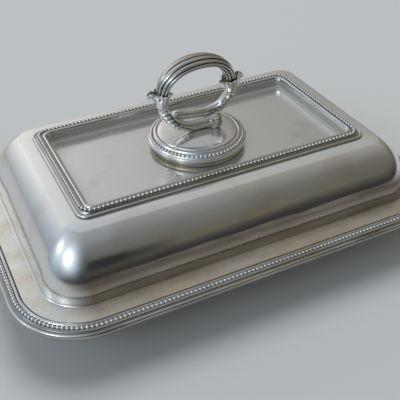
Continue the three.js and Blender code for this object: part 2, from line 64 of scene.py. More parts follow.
# %% Camera
CAMERA_PLACE = (-0.16655, -0.34493, 0.30564)
CAMERA_YAW = math.radians(25.99)
CAMERA_PITCH = math.radians(36.78)
CAMERA_ROLL = math.radians(-0.678)
CAMERA_LENS = 60.38
SENSOR_WIDTH = 36.0
NEAREST_SEEN = 0.01

bpy.ops.object.camera_add(location=CAMERA_PLACE)
camera = bpy.context.object
camera.name = "camera"
turn = Matrix.Rotation(-CAMERA_YAW, 3, "Z")
tilt = Matrix.Rotation(math.pi / 2 - CAMERA_PITCH, 3, "X")
lean = Matrix.Rotation(CAMERA_ROLL, 3, "Z")
camera.rotation_euler = (turn @ tilt @ lean).to_euler()
camera.data.lens = CAMERA_LENS
camera.data.sensor_width = SENSOR_WIDTH
camera.data.clip_start = NEAREST_SEEN
scene.camera = camera
print("camera lens in mm:", camera.data.lens)

# %% [markdown]
# Polished metal has hardly any colour of its own: it shows the room. A lamp that is
# small and strong would draw a hard white line along every moulding, so most of the
# light on the dish comes from the soft greys of the room itself. Two windows high on
# the left give the bright spots on the rounded corner of the cover. A large soft panel
# overhead lights the pale floor and gives the dish its shadow; it is kept out of
# reflections, as a photographer keeps a lamp out of the silver.

# %% Floor and lamps
FLOOR_SIZE = 6.0
FLOOR_COLOR = (0.56, 0.56, 0.555, 1.0)
FLOOR_ROUGHNESS = 0.8
LAMP_TARGET = (0, 0, 0.05)
DAYLIGHT = (0.9, 0.95, 1.0)
WHITE = (1.0, 1.0, 1.0)
LAMPS = [
    # name, place, size, power, colour, whether the metal mirrors it
    ("near_window", (-1.32, -0.57, 0.98), (0.5, 0.4), 1.6, DAYLIGHT, True),
    ("far_window", (-1.41, 0.37, 0.89), (0.3, 0.3), 0.45, DAYLIGHT, True),
    ("overhead_panel", (0.3, 0.5, 2.0), (1.6, 1.6), 24.0, WHITE, False),
]

bpy.ops.mesh.primitive_plane_add(size=FLOOR_SIZE, location=(0, 0, 0))
floor = bpy.context.object
floor.name = "floor"
floor_material = bpy.data.materials.new("pale_floor")
floor_material.use_nodes = True
floor_shader = floor_material.node_tree.nodes["Principled BSDF"]
floor_shader.inputs["Base Color"].default_value = FLOOR_COLOR
floor_shader.inputs["Roughness"].default_value = FLOOR_ROUGHNESS
floor.data.materials.append(floor_material)

for name, place, size, power, color, mirrored in LAMPS:
    facing = (Vector(LAMP_TARGET) - Vector(place)).to_track_quat("-Z", "Y")
    bpy.ops.object.light_add(type="AREA", location=place, rotation=facing.to_euler())
    lamp = bpy.context.object
    lamp.name = name
    lamp.data.shape = "ELLIPSE"
    lamp.data.size, lamp.data.size_y = size
    lamp.data.energy = power
    lamp.data.color = color
    lamp.visible_glossy = mirrored
print(f"{len(LAMPS)} lamps over a floor of {FLOOR_SIZE:.0f} m")

# %% [markdown]
# The room and the finishes are both made of nodes. Each of these helpers adds one
# node, feeds it and hands back what comes out of it, so that a long recipe reads as a
# few lines.

# %% Node helpers


def feed(tree, socket, value):
    """Link a socket to another node's output, or set it to a plain value."""
    if isinstance(value, bpy.types.NodeSocket):
        tree.links.new(value, socket)
    else:
        socket.default_value = value


def math_node(tree, operation, *values, clamp=False):
    node = tree.nodes.new("ShaderNodeMath")
    node.operation = operation
    node.use_clamp = clamp
    for socket, value in zip(node.inputs, values):
        feed(tree, socket, value)
    return node.outputs[0]


def times(tree, first, second):
    return math_node(tree, "MULTIPLY", first, second)


def vector_node(tree, operation, *values):
    node = tree.nodes.new("ShaderNodeVectorMath")
    node.operation = operation
    for socket, value in zip(node.inputs, values):
        feed(tree, socket, value)
    return node


def noise(tree, vector, scale, detail=3.0, roughness=0.55):
    node = tree.nodes.new("ShaderNodeTexNoise")
    node.inputs["Scale"].default_value = scale
    node.inputs["Detail"].default_value = detail
    node.inputs["Roughness"].default_value = roughness
    feed(tree, node.inputs["Vector"], vector)
    return node.outputs["Fac"]


def map_range(tree, value, low, high, to_low=0.0, to_high=1.0):
    node = tree.nodes.new("ShaderNodeMapRange")
    node.inputs["From Min"].default_value = low
    node.inputs["From Max"].default_value = high
    node.inputs["To Min"].default_value = to_low
    node.inputs["To Max"].default_value = to_high
    feed(tree, node.inputs["Value"], value)
    return node.outputs["Result"]


def mix_color(tree, share, first, second):
    node = tree.nodes.new("ShaderNodeMix")
    node.data_type = "RGBA"
    feed(tree, node.inputs["Factor"], share)
    two_colors = [socket for socket in node.inputs if socket.type == "RGBA"]
    for socket, value in zip(two_colors, (first, second)):
        feed(tree, socket, value)
    return [socket for socket in node.outputs if socket.type == "RGBA"][0]


def coordinates(tree, kind="Object"):
    return tree.nodes.new("ShaderNodeTexCoord").outputs[kind]


def split_axes(tree, vector):
    node = tree.nodes.new("ShaderNodeSeparateXYZ")
    feed(tree, node.inputs[0], vector)
    return node.outputs["X"], node.outputs["Y"], node.outputs["Z"]


# %% [markdown]
# The room is a sky of greys by direction. Each glow of it has a direction, a spread
# and a colour: a wide cool one on the left, bright ones round the two windows, warm
# ones low behind, a small one to the right, faint ones high behind and high in front,
# and a blue one low at the front left. The front and the right stay dark, which gives
# the metal its contrast. Low in front there is a beige wall, and against it stand a
# dark curtain and a line of dark furniture, which the bow of the cover shows as a dark
# streak.

# %% The room's greys
ROOM_BASE = (0.067, 0.067, 0.06)
ROOM_GLOWS = [
    # direction, spread, colour
    ((-0.75, 0.43, 0.50), 1.0, (0.25, 0.32, 0.42)),
    ((-0.70, -0.40, 0.59), 14.0, (0.70, 0.78, 0.82)),
    ((-0.754, -0.315, 0.575), 60.0, (0.8, 0.85, 0.9)),
    ((-0.811, 0.266, 0.52), 90.0, (0.5, 0.53, 0.56)),
    ((-0.84, 0.22, 0.50), 16.0, (0.41, 0.47, 0.51)),
    ((0.0, 0.98, 0.17), 8.0, (0.38, 0.30, 0.25)),
    ((-0.24, 0.91, 0.34), 16.0, (0.55, 0.54, 0.46)),
    ((0.68, 0.18, 0.71), 4.0, (0.24, 0.22, 0.18)),
    ((0.06, 0.78, 0.61), 8.0, (0.10, 0.10, 0.105)),
    ((0.16, -0.60, 0.78), 14.0, (0.10, 0.11, 0.13)),
    ((0.42, -0.86, 0.28), 12.0, (0.07, 0.062, 0.036)),
    ((-0.62, -0.72, 0.30), 40.0, (0.04, 0.09, 0.20)),
]
FURNITURE_COLOR = (0.03, 0.03, 0.034, 1.0)
FURNITURE_TOP = (0.26, 0.04)
FURNITURE_SIDE = (0.0, -0.55)
CURTAIN = (0.06, -0.93, 0.34)
CURTAIN_SPREAD = 60.0
CURTAIN_EDGE = (0.2, 0.7)


def facing_share(tree, vector, direction, spread):
    """How much a direction of the room faces a given way, 0 to 1."""
    dot = vector_node(tree, "DOT_PRODUCT", vector, Vector(direction).normalized())
    facing = math_node(tree, "MAXIMUM", dot.outputs["Value"], 0.0)
    return math_node(tree, "POWER", facing, spread)


room = bpy.data.worlds.new("room")
scene.world = room
room.use_nodes = True
tree = room.node_tree
look = coordinates(tree, "Generated")
room_color = ROOM_BASE
for direction, spread, color in ROOM_GLOWS:
    glow = vector_node(tree, "SCALE", color)
    feed(tree, glow.inputs["Scale"], facing_share(tree, look, direction, spread))
    room_color = vector_node(tree, "ADD", room_color, glow.outputs[0]).outputs[0]
_, towards_back, upwards = split_axes(tree, look)
furniture = times(
    tree,
    map_range(tree, upwards, *FURNITURE_TOP),
    map_range(tree, towards_back, *FURNITURE_SIDE),
)
curtain = map_range(tree, facing_share(tree, look, CURTAIN, CURTAIN_SPREAD), *CURTAIN_EDGE)
dark_things = math_node(tree, "MAXIMUM", furniture, curtain)
background = tree.nodes["Background"]
feed(
    tree, background.inputs["Color"],
    mix_color(tree, dark_things, room_color, FURNITURE_COLOR),
)
background.inputs["Strength"].default_value = 1.0
print(f"room of {len(ROOM_GLOWS)} glows")

# %% [markdown]
# Every operator acts on whatever is selected, so each piece starts from an empty
# selection. These small helpers clear it, make one piece the chosen one, and choose
# vertices by a test in code, the way that a mouse would choose them on the screen.

# %% Selection helpers


def clear_selection():
    if bpy.context.mode != "OBJECT":
        bpy.ops.object.mode_set(mode="OBJECT")
    bpy.ops.object.select_all(action="DESELECT")


def make_active(piece):
    clear_selection()
    bpy.context.view_layer.objects.active = piece
    piece.select_set(True)


def chosen(piece):
    """The selected vertices of the piece in edit mode."""
    sheet = bmesh.from_edit_mesh(piece.data)
    return sheet, [v for v in sheet.verts if v.select]


def choose(piece, sheet, verts):
    bpy.ops.mesh.select_all(action="DESELECT")
    for v in verts:
        v.select = True
    sheet.select_flush(True)
    bmesh.update_edit_mesh(piece.data, loop_triangles=False, destructive=False)


# %% [markdown]
# A few more helpers work on a whole piece. They name it, take it into edit mode, turn
# its faces outwards, make its modifiers and its place final, and smooth it. One keeps a
# number on each vertex, by which the finish later knows a hollow from a high place.

# %% Helpers for a whole piece


def take_name(name):
    """The piece that was just added, under its own name."""
    piece = bpy.context.object
    piece.name = name
    piece.data.name = name
    return piece


def edit_whole():
    bpy.ops.object.mode_set(mode="EDIT")
    bpy.ops.mesh.select_all(action="SELECT")


def face_outwards():
    """Turn every face of the piece in edit mode outwards, and leave edit mode."""
    bpy.ops.mesh.select_all(action="SELECT")
    bpy.ops.mesh.normals_make_consistent(inside=False)
    bpy.ops.object.mode_set(mode="OBJECT")


def apply_modifiers(piece):
    make_active(piece)
    for modifier in list(piece.modifiers):
        bpy.ops.object.modifier_apply(modifier=modifier.name)


def apply_place(piece):
    make_active(piece)
    bpy.ops.object.transform_apply(location=True, rotation=True, scale=True)


def keep_values(piece, name):
    """A number for each vertex of the piece, which its finish reads later."""
    return piece.data.attributes.new(name, "FLOAT", "POINT").data


def smooth_piece(piece, crease_degrees=32.0):
    make_active(piece)
    bpy.ops.object.shade_smooth_by_angle(angle=math.radians(crease_degrees))
    print(f"{piece.name}: {len(piece.data.polygons)} faces")


# %% [markdown]
# Every border of the dish runs round the same rounded oblong, nearer to or farther
# from the edge of the cover's flange. An outline is given by the radius of its
# corners, by the place of their centres, and by its height.

# %% Outlines
flange_low, flange_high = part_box("cover_body")
HALF_LENGTH = flange_high.x / MM
HALF_WIDTH = flange_high.y / MM
CORNER = 37.0
SMALL_CORNER = 5.0


def rounded(out, z, radius):
    return radius, HALF_LENGTH + out - radius, HALF_WIDTH + out - radius, z


def oblong(out, z, smallest=SMALL_CORNER):
    """Corners that stay parallel to the flange's, down to a smallest radius."""
    return rounded(out, z, max(CORNER + out, smallest))


def circle(radius, z):
    return radius, 0.0, 0.0, z


print(f"flange: {2 * HALF_LENGTH:.1f} x {2 * HALF_WIDTH:.1f} mm")

# %% [markdown]
# Such an outline is a circle whose four quarters have been pulled apart. A piece is
# then built as by hand: extrude the outline, scale each quarter about the centre of
# its corner, and extrude again, once for each line of the moulding. Inset would do the
# same, but it turns inside out where the corners get small.

# %% Pieces from outline to outline
QUARTERS = [(1, 1), (-1, 1), (-1, -1), (1, -1)]
QUARTER_POINTS = 16
MERGE_WITHIN = 0.002


def reshape_loop(piece, before, after):
    """Scale and move the selected loop from one outline to the next."""
    radius0, x0, y0, z0 = before
    radius1, x1, y1, z1 = after
    factor = radius1 / radius0
    sheet, loop = chosen(piece)
    quarters = QUARTERS if x0 > 0 else [(0, 0)]
    for sign_x, sign_y in quarters:
        part = [v for v in loop if v.co.x * sign_x >= 0 and v.co.y * sign_y >= 0]
        choose(piece, sheet, part)
        centre = (sign_x * x0 * MM, sign_y * y0 * MM, z0 * MM)
        bpy.ops.transform.resize(value=(factor, factor, 1.0), center_override=centre)
        shift = (sign_x * (x1 - x0) * MM, sign_y * (y1 - y0) * MM, (z1 - z0) * MM)
        bpy.ops.transform.translate(value=shift)
    choose(piece, sheet, loop)


def first_loop(name, outline, points):
    radius, x, y, z = outline
    clear_selection()
    bpy.ops.mesh.primitive_circle_add(
        vertices=points,
        radius=radius * MM,
        location=(0, 0, z * MM),
        rotation=(0, 0, math.pi / points),
    )
    piece = take_name(name)
    apply_place(piece)
    edit_whole()
    sheet, loop = chosen(piece)
    for sign_x, sign_y in QUARTERS if x > 0 else []:
        part = [v for v in loop if v.co.x * sign_x > 0 and v.co.y * sign_y > 0]
        choose(piece, sheet, part)
        bpy.ops.transform.translate(value=(sign_x * x * MM, sign_y * y * MM, 0))
    choose(piece, sheet, loop)
    return piece


def moulded(name, outlines, points=4 * QUARTER_POINTS, meets_itself=False):
    """A closed piece, extruded from outline to outline. Each vertex keeps the reach of
    its outline along X, by which the finish later finds the hollows."""
    piece = first_loop(name, outlines[0], points)
    if not meets_itself:
        bpy.ops.mesh.edge_face_add()
        bpy.ops.mesh.select_mode(type="VERT")
    route = outlines + ([outlines[0]] if meets_itself else [])
    for before, after in zip(route, route[1:]):
        bpy.ops.mesh.extrude_edges_move(TRANSFORM_OT_translate={"value": (0, 0, 0)})
        reshape_loop(piece, before, after)
    if not meets_itself:
        bpy.ops.mesh.edge_face_add()
    bpy.ops.object.mode_set(mode="OBJECT")
    reaches = keep_values(piece, "reach")
    for vertex in piece.data.vertices:
        radius, x, *_ = outlines[vertex.index // points % len(outlines)]
        reaches[vertex.index].value = radius + x
    edit_whole()
    bpy.ops.mesh.remove_doubles(threshold=MERGE_WITHIN * MM)
    face_outwards()
    return piece


# %% [markdown]
# Pressed sheet metal is a profile and its twin, one wall's thickness away. Curved
# parts of a profile are pieces of an oval between two points. A small bevel on every
# sharp line then gives the metal its bright edges.

# %% Profile helpers


def bow(start, end, from_degrees, to_degrees, steps):
    a0, a1 = math.radians(from_degrees), math.radians(to_degrees)
    points = []
    for step in range(1, steps + 1):
        angle = a0 + (a1 - a0) * step / steps
        across = (math.cos(a0) - math.cos(angle)) / (math.cos(a0) - math.cos(a1))
        up = (math.sin(angle) - math.sin(a0)) / (math.sin(a1) - math.sin(a0))
        points.append((
            start[0] + (end[0] - start[0]) * across,
            start[1] + (end[1] - start[1]) * up,
        ))
    return points


def twin(profile, wall):
    """The same profile, moved to its left by the wall."""
    normals = []
    for (o0, z0), (o1, z1) in zip(profile, profile[1:]):
        along = Vector((o1 - o0, z1 - z0)).normalized()
        normals.append(Vector((-along.y, along.x)))
    moved = []
    for i, (out, z) in enumerate(profile):
        before = normals[max(i - 1, 0)]
        after = normals[min(i, len(normals) - 1)]
        mitre = (before + after) / (1 + before.dot(after))
        moved.append((out + mitre.x * wall, z + mitre.y * wall))
    return moved


def soften_edges(piece, width, sharper_than, segments=3):
    bevel = piece.modifiers.new("edges", "BEVEL")
    bevel.width = width * MM
    bevel.segments = segments
    bevel.limit_method = "ANGLE"
    bevel.angle_limit = math.radians(sharper_than)
    bevel.use_clamp_overlap = True
    apply_modifiers(piece)


# %% [markdown]
# The dish is raised from one sheet: a flat floor, a rounded heel, a wall that flares
# as it rises, and a flat ledge on which the cover's flange lies. Little of it shows
# under the rim from above, but it is all there from the side.

# %% The dish
DISH_WALL = 1.3
FLOOR_CORNER = 15.0
FLOOR_START = (-43.0, 0.0)
FLOOR_EDGE = (-35.0, 0.0)
HEEL_TOP = (-27.0, 7.0)
LEDGE_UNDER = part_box("dish_body")[1].z / MM - DISH_WALL
LEDGE_START = (-13.0, LEDGE_UNDER)
LEDGE_EDGE = (0.4, LEDGE_UNDER)

dish_profile = (
    [FLOOR_START, FLOOR_EDGE]
    + bow(FLOOR_EDGE, HEEL_TOP, 90, 10, 8)
    + bow(HEEL_TOP, LEDGE_START, 12, 55, 8)
    + [LEDGE_EDGE]
)
dish_inside = twin(dish_profile, DISH_WALL)[::-1]
dish_base = moulded(
    "dish_base",
    [oblong(out, z, FLOOR_CORNER) for out, z in dish_profile + dish_inside],
)
soften_edges(dish_base, 0.5, sharper_than=30.0)
smooth_piece(dish_base)

# %% [markdown]
# A drawn wire is soldered round the rim. Its section has a rounded fillet next to the
# cover, a flat land for the pearls, a hollow, and a rolled lip that overhangs. Each
# pair below is a distance out from the flange's edge and a height.

# %% Rim moulding
rim_section = [
    (-3.3, 31.7), (6.9, 31.7), (7.5, 30.9), (8.0, 30.65), (8.5, 31.1), (8.8, 32.0),
    (8.85, 33.0), (8.65, 33.8), (8.25, 34.35), (7.75, 34.6), (7.2, 34.5), (6.7, 34.25),
    (6.25, 34.15), (5.85, 34.4), (5.6, 35.1), (5.37, 35.8), (2.85, 35.85), (2.6, 36.15),
    (2.4, 36.6), (2.0, 36.75), (1.5, 36.72), (1.0, 36.5), (0.7, 36.2), (0.7, 32.9),
    (-3.3, 32.9),
]
rim_moulding = moulded(
    "rim_moulding",
    [oblong(out, z) for out, z in rim_section],
    meets_itself=True,
)
smooth_piece(rim_moulding, 50.0)

# %% [markdown]
# The cover is one sheet too. From its edge inward: a flat flange, a small hollow, the
# great bow of the side, a crease at the shoulder, a sloping shelf, and the well in
# which the handle stands. The corners get tighter on the way up, but more slowly than
# the sides come in, so the bow is fullest at the corners.

# %% The cover
COVER_WALL = 1.2
FLANGE_Z = flange_low.z / MM + COVER_WALL
PANEL_Z = 68.3
SEAT_Z = flange_high.z / MM
FLANGE_INNER = (-10.2, FLANGE_Z)
BOW_FOOT = (-11.8, FLANGE_Z + 1.6)
SHOULDER = (-31.9, 71.8)
SHELF_END = (-39.7, SEAT_Z)
SEAT_INNER = (-48.6, SEAT_Z)
WALL_FOOT = (-49.1, PANEL_Z + 2.8)
PANEL_EDGE = (-51.9, PANEL_Z)
PANEL_INNER = (-56.3, PANEL_Z)
COVER_CORNERS = [
    # distance out, corner radius
    (0.0, CORNER), (BOW_FOOT[0], 25.2), (SHOULDER[0], 10.5), (SHELF_END[0], 8.0),
    (SEAT_INNER[0], SMALL_CORNER), (-90.0, SMALL_CORNER),
]


def on_cover(out, z):
    """An outline of the cover, with the corner radius that belongs at its place."""
    for (out0, radius0), (out1, radius1) in zip(COVER_CORNERS, COVER_CORNERS[1:]):
        if out >= out1:
            share = (out - out0) / (out1 - out0)
            return rounded(out, z, radius0 + (radius1 - radius0) * share)


def cover_side(hollow_steps, bow_steps, cove_steps):
    return (
        [(0.0, FLANGE_Z), FLANGE_INNER]
        + bow(FLANGE_INNER, BOW_FOOT, 90, 175, hollow_steps)
        + bow(BOW_FOOT, SHOULDER, 4, 60, bow_steps)
        + [SHELF_END, SEAT_INNER, WALL_FOOT]
        + bow(WALL_FOOT, PANEL_EDGE, 180, 270, cove_steps)
        + [PANEL_INNER]
    )


cover_inside = twin(cover_side(1, 8, 2), COVER_WALL)[::-1]
cover_shell = moulded(
    "cover_shell",
    [on_cover(out, z) for out, z in cover_inside + cover_side(5, 22, 5)],
)
soften_edges(cover_shell, 0.45, sharper_than=12.0)
smooth_piece(cover_shell, 40.0)

# %% [markdown]
# The moulding round the well is lower and finer than the rim's: a plain fillet, a
# hollow, a rounded line, the land for the pearls, and an inner line.

# %% Moulding round the well
TOP_BASE = SEAT_Z + 0.3
top_section = [
    (-48.3, TOP_BASE), (-40.0, TOP_BASE), (-40.05, 73.4), (-40.3, 73.95), (-40.65, 74.3),
    (-41.05, 74.42), (-41.4, 74.3), (-41.7, 74.0), (-42.0, 73.95), (-42.3, 74.2),
    (-42.5, 74.8), (-42.7, 75.15), (-46.0, 75.15), (-46.3, 75.7), (-46.7, 76.05),
    (-47.4, 76.05), (-48.0, 75.8), (-48.3, 75.5),
]
top_moulding = moulded(
    "top_moulding",
    [on_cover(out, z) for out, z in top_section],
    meets_itself=True,
)
smooth_piece(top_moulding, 50.0)

# %% [markdown]
# Bead wire is made by rolling: half-round pearls in one strip, joined by a thin core.
# Only one pearl with its bit of core is modelled, from a small sphere and an open
# cylinder, because hundreds are needed. The height above the seat is kept on each
# vertex, so that the finish darkens the gaps between pearls: tarnish that polish never
# reaches, and painted shade.

# %% One pearl
PEARL_PITCH = 2.68
PEARL_RADIUS = 1.27
PEARL_SIDES = 8
PEARL_RINGS = 6
CORE_RADIUS = 0.5
CORE_SIDES = 6


def bead_unit(name, pitch, lean_degrees, slender):
    clear_selection()
    bpy.ops.mesh.primitive_uv_sphere_add(
        segments=PEARL_SIDES, ring_count=PEARL_RINGS, radius=PEARL_RADIUS * MM
    )
    piece = take_name(name)
    piece.scale = (1 / slender, slender, 1)
    apply_place(piece)
    bpy.ops.object.mode_set(mode="EDIT")
    bpy.ops.mesh.select_all(action="DESELECT")
    bpy.ops.mesh.primitive_cylinder_add(
        vertices=CORE_SIDES,
        radius=CORE_RADIUS * MM,
        depth=pitch * MM,
        end_fill_type="NOTHING",
        rotation=(0, math.pi / 2, 0),
    )
    bpy.ops.object.mode_set(mode="OBJECT")
    heights = keep_values(piece, "height")
    for vertex in piece.data.vertices:
        heights[vertex.index].value = vertex.co.z / MM / PEARL_RADIUS
    piece.rotation_euler = (math.radians(lean_degrees), 0, 0)
    apply_place(piece)
    return piece


# %% [markdown]
# An Array modifier repeats the pearl and a Curve modifier bends the row round its
# border. The pitch is changed a little, so that a whole number of pearls goes round
# and the last one meets the first, where they are merged.

# %% Bead wires
JOIN_WITHIN = 0.01


def outline_curve(name, outline, points):
    path = first_loop(name, outline, points)
    make_active(path)
    bpy.ops.object.convert(target="CURVE")
    path.data.dimensions = "2D"
    return path


def bend_along(piece, path):
    """Apply the piece's modifiers, then bend it from the X axis to the path."""
    bend = piece.modifiers.new("bend", "CURVE")
    bend.object = path
    bend.deform_axis = "POS_X"
    apply_modifiers(piece)
    bpy.data.objects.remove(path)


def bead_wire(name, outline, lean_degrees=0.0, points=4 * QUARTER_POINTS, slender=1.0):
    path = outline_curve(name + "_path", outline, points)
    length = path.data.splines[0].calc_length() / MM
    count = round(length / PEARL_PITCH)
    piece = bead_unit(name, length / count, lean_degrees, slender)
    rows = piece.modifiers.new("row", "ARRAY")
    rows.count = count
    rows.use_relative_offset = False
    rows.use_constant_offset = True
    rows.constant_offset_displace = (length / count * MM, 0, 0)
    rows.use_merge_vertices = True
    rows.merge_threshold = JOIN_WITHIN * MM
    bend_along(piece, path)
    edit_whole()
    bpy.ops.mesh.remove_doubles(threshold=JOIN_WITHIN * MM)
    bpy.ops.transform.translate(value=(0, 0, outline[3] * MM))
    bpy.ops.object.mode_set(mode="OBJECT")
    print(f"{name}: {count} pearls at {length / count:.3f} mm")
    return piece


rim_beads = bead_wire("rim_beads", oblong(4.1, 36.1))
smooth_piece(rim_beads, 60.0)
top_beads = bead_wire("top_beads", on_cover(-44.3, 75.4))
smooth_piece(top_beads, 60.0)

# %% [markdown]
# The handle's base is turned: a rolled edge, a sloping border that carries its own
# pearls, a small step and a low dome, with a plain band under it. Here the outline is
# a whole circle, scaled at each extrusion. Each pair is a radius and a height.

# %% Handle base
TURNED_POINTS = 96
plate_top = [
    (32.35, 72.5), (32.6, 72.8), (32.65, 73.3), (32.55, 73.8), (32.25, 74.15), (31.9, 74.3),
    (31.65, 74.45), (31.4, 74.9), (29.5, 76.55), (29.1, 76.8), (28.85, 77.3), (28.5, 77.65),
    (28.0, 77.85), (27.5, 77.95), (27.1, 77.9), (26.9, 77.65), (26.6, 77.55), (26.35, 77.75),
    (26.15, 78.15), (25.8, 78.35), (22.0, 78.95), (16.0, 79.5), (9.0, 79.95), (4.0, 80.12),
]
plate_under = [
    (4.0, 78.8), (16.2, 78.0), (27.0, 76.8), (28.0, 76.3), (28.0, 72.5),
]
plate = moulded(
    "base_plate",
    [circle(radius, z) for radius, z in plate_under + plate_top],
    points=TURNED_POINTS,
)
smooth_piece(plate, 50.0)

band_bottom, band_top = (corner.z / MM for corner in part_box("handle_skirt"))
band_section = [
    (30.2, band_bottom), (31.3, band_bottom), (31.3, band_bottom + 0.4),
    (31.05, band_bottom + 0.7), (31.05, band_top - 0.5), (31.2, band_top - 0.2),
    (31.2, band_top), (30.2, band_top),
]
band = moulded(
    "base_band",
    [circle(radius, z) for radius, z in band_section],
    points=TURNED_POINTS,
    meets_itself=True,
)
smooth_piece(band, 50.0)

BORDER_SLOPE = 44.0
PLATE_BEADS = circle(30.35, 75.85)
plate_beads = bead_wire(
    "plate_beads", PLATE_BEADS, -BORDER_SLOPE, TURNED_POINTS, slender=1.15
)
smooth_piece(plate_beads, 60.0)

# %% [markdown]
# The ring is cast in parts. Each part is modelled straight, along X, and then bent
# round its share of the ring by a Curve modifier, lying flat on the table. Only then
# is it stood up in its place. Lying flat, Y is the height above the ring's centre and
# Z is how far a part stands out towards the front.

# %% Routes of the ring
RING_HALF_WIDTH = 24.4
ARCH_RISE = 21.4
BRANCH_DROP = 21.2
RING_CENTRE_Z = 104.9
LEAF_LENGTH = 8.0
SEAT_GAP = 0.3
SHOULDER_SWELL = 0.04
ARCH_LEAN = 1.1
ROUTE_POINTS = 60

leaf_half_angle = LEAF_LENGTH / 2 / ARCH_RISE
bar_start_angle = leaf_half_angle + SEAT_GAP / ARCH_RISE


def on_ring(angle):
    return Vector((RING_HALF_WIDTH * math.cos(angle), ARCH_RISE * math.sin(angle), 0.0))


def on_arch(angle):
    """The reeded arch is a little fuller at its shoulders and leans to the right."""
    full = 1 + SHOULDER_SWELL * math.sin(2 * angle) ** 2
    return full * on_ring(angle) + Vector((ARCH_LEAN * math.sin(angle) ** 2, 0.0, 0.0))


def route_curve(name, points):
    data = bpy.data.curves.new(name, "CURVE")
    data.dimensions = "3D"
    data.twist_mode = "Z_UP"
    spline = data.splines.new("POLY")
    spline.points.add(len(points) - 1)
    for slot, point in zip(spline.points, points):
        slot.co = (*(point * MM), 1.0)
    path = bpy.data.objects.new(name, data)
    scene.collection.objects.link(path)
    return path, spline.calc_length() / MM


def bend_and_stand(piece, path):
    """Bend a straight piece along a route, then stand it up in the handle."""
    bend_along(piece, path)
    piece.rotation_euler = (math.pi / 2, 0, 0)
    piece.location = (0, 0, RING_CENTRE_Z * MM)
    apply_place(piece)


arch_path, arch_length = route_curve("arch_route", [
    on_arch(bar_start_angle + (math.pi - 2 * bar_start_angle) * i / ROUTE_POINTS)
    for i in range(ROUTE_POINTS + 1)
])
print(f"arch: {arch_length:.1f} mm along its middle")

# %% [markdown]
# A straight bar starts as a circle and is extruded from station to station. Each
# station has its own height and depth, so a bar can be oval, swell and end round.

# %% Bars along X


def bar_start(name, points):
    clear_selection()
    bpy.ops.mesh.primitive_circle_add(vertices=points, radius=MM, rotation=(0, math.pi / 2, 0))
    piece = take_name(name)
    apply_place(piece)
    edit_whole()
    return piece


def bar_through(piece, stations):
    """Extrude a bar. Each station is (x, half height, half depth) in mm."""
    x, height, depth = stations[0]
    bpy.ops.transform.resize(value=(1.0, height, depth), center_override=(0, 0, 0))
    bpy.ops.transform.translate(value=(x * MM, 0, 0))
    bpy.ops.mesh.edge_face_add()
    for (x0, height0, depth0), (x1, height1, depth1) in zip(stations, stations[1:]):
        step = ((x1 - x0) * MM, 0, 0)
        bpy.ops.mesh.extrude_edges_move(TRANSFORM_OT_translate={"value": step})
        growth = (1.0, height1 / height0, depth1 / depth0)
        bpy.ops.transform.resize(value=growth, center_override=(x1 * MM, 0, 0))


def straight_bar(name, stations, points):
    piece = bar_start(name, points)
    bar_through(piece, stations)
    bpy.ops.mesh.edge_face_add()
    face_outwards()
    return piece


# %% [markdown]
# The arch is reeded: round-topped ribs lie side by side all round it, and it swells
# from its ends to its middle. Each point of its section is drawn in by its place
# within a reed, most between two reeds, and keeps how deep it lies for the finish.

# %% The reeded arch
REEDS = 10
REED_POINTS = 8
GROOVE_DEPTH = 1.1
MEAN_HALF_SIZE = 4.2
ARCH_STEPS = 48
ARCH_HALF_HEIGHT = 3.44
ARCH_END_DEPTH = 5.7
ARCH_SWELL = 3.2
CAP_CENTRE = 0.1


def clamped(value):
    return min(max(value, 0.0), 1.0)


def scale_section(vertex, factor):
    vertex.co.y *= factor
    vertex.co.z *= factor


def arch_half_depth(share):
    return ARCH_END_DEPTH + ARCH_SWELL * math.sin(math.pi * clamped(share))


arch_stations = []
for i in range(ARCH_STEPS + 1):
    share = i / ARCH_STEPS
    arch_stations.append((arch_length * share, ARCH_HALF_HEIGHT, arch_half_depth(share)))
arch = straight_bar("reeded_arch", arch_stations, REEDS * REED_POINTS)

grooves = keep_values(arch, "groove")
for vertex in arch.data.vertices:
    if abs(vertex.co.y) + abs(vertex.co.z) < CAP_CENTRE * MM:
        continue
    half_depth = arch_half_depth(vertex.co.x / (arch_length * MM))
    angle = math.atan2(vertex.co.z / half_depth, vertex.co.y / ARCH_HALF_HEIGHT)
    phase = (angle / (2 * math.pi) * REEDS) % 1.0
    crest = math.sqrt(max(0.0, 1 - (2 * phase - 1) ** 2))
    shrink = 1 - GROOVE_DEPTH * (1 - crest) / MEAN_HALF_SIZE
    scale_section(vertex, shrink)
    grooves[vertex.index].value = 1 - crest
bend_and_stand(arch, arch_path)
smooth_piece(arch, 60.0)

# %% [markdown]
# Two branches carry the arch. Each leaves its leaf cup, swings in under the ring and
# passes the other: the left one in front, ending in a small leaf bell, and the right
# one behind, ending in a smooth tongue. A route starts square to the cup, and its
# other points are shares of the ring's half width, of how far the branch stands out,
# and of how far it drops.

# %% Routes of the branches
BRANCH_RADIUS = 3.2
BRANCH_SIDE = 3.6
BRANCH_LEAD = 0.6
FRONT_SHARES = [
    (-0.9, 0.25, -0.47), (-0.7, 0.65, -0.77), (-0.4, 0.95, -0.95), (-0.1, 1, -1), (0.37, 1, -1),
]
REAR_SHARES = [
    (0.92, 0.25, -0.43), (0.74, 0.65, -0.69), (0.44, 0.95, -0.82), (0.1, 1, -0.82),
    (-0.3, 1, -0.76), (-0.66, 1, -0.68),
]


def smooth_route(points, count):
    """Points along a Catmull-Rom curve through the given points."""
    ends = [2 * points[0] - points[1]] + points + [2 * points[-1] - points[-2]]
    route = []
    spans = len(points) - 1
    for i in range(count + 1):
        place = spans * i / count
        span = min(int(place), spans - 1)
        t = place - span
        p0, p1, p2, p3 = ends[span:span + 4]
        route.append(0.5 * (
            2 * p1 + (p2 - p0) * t + (2 * p0 - 5 * p1 + 4 * p2 - p3) * t * t
            + (3 * p1 - p0 - 3 * p2 + p3) * t ** 3
        ))
    return route


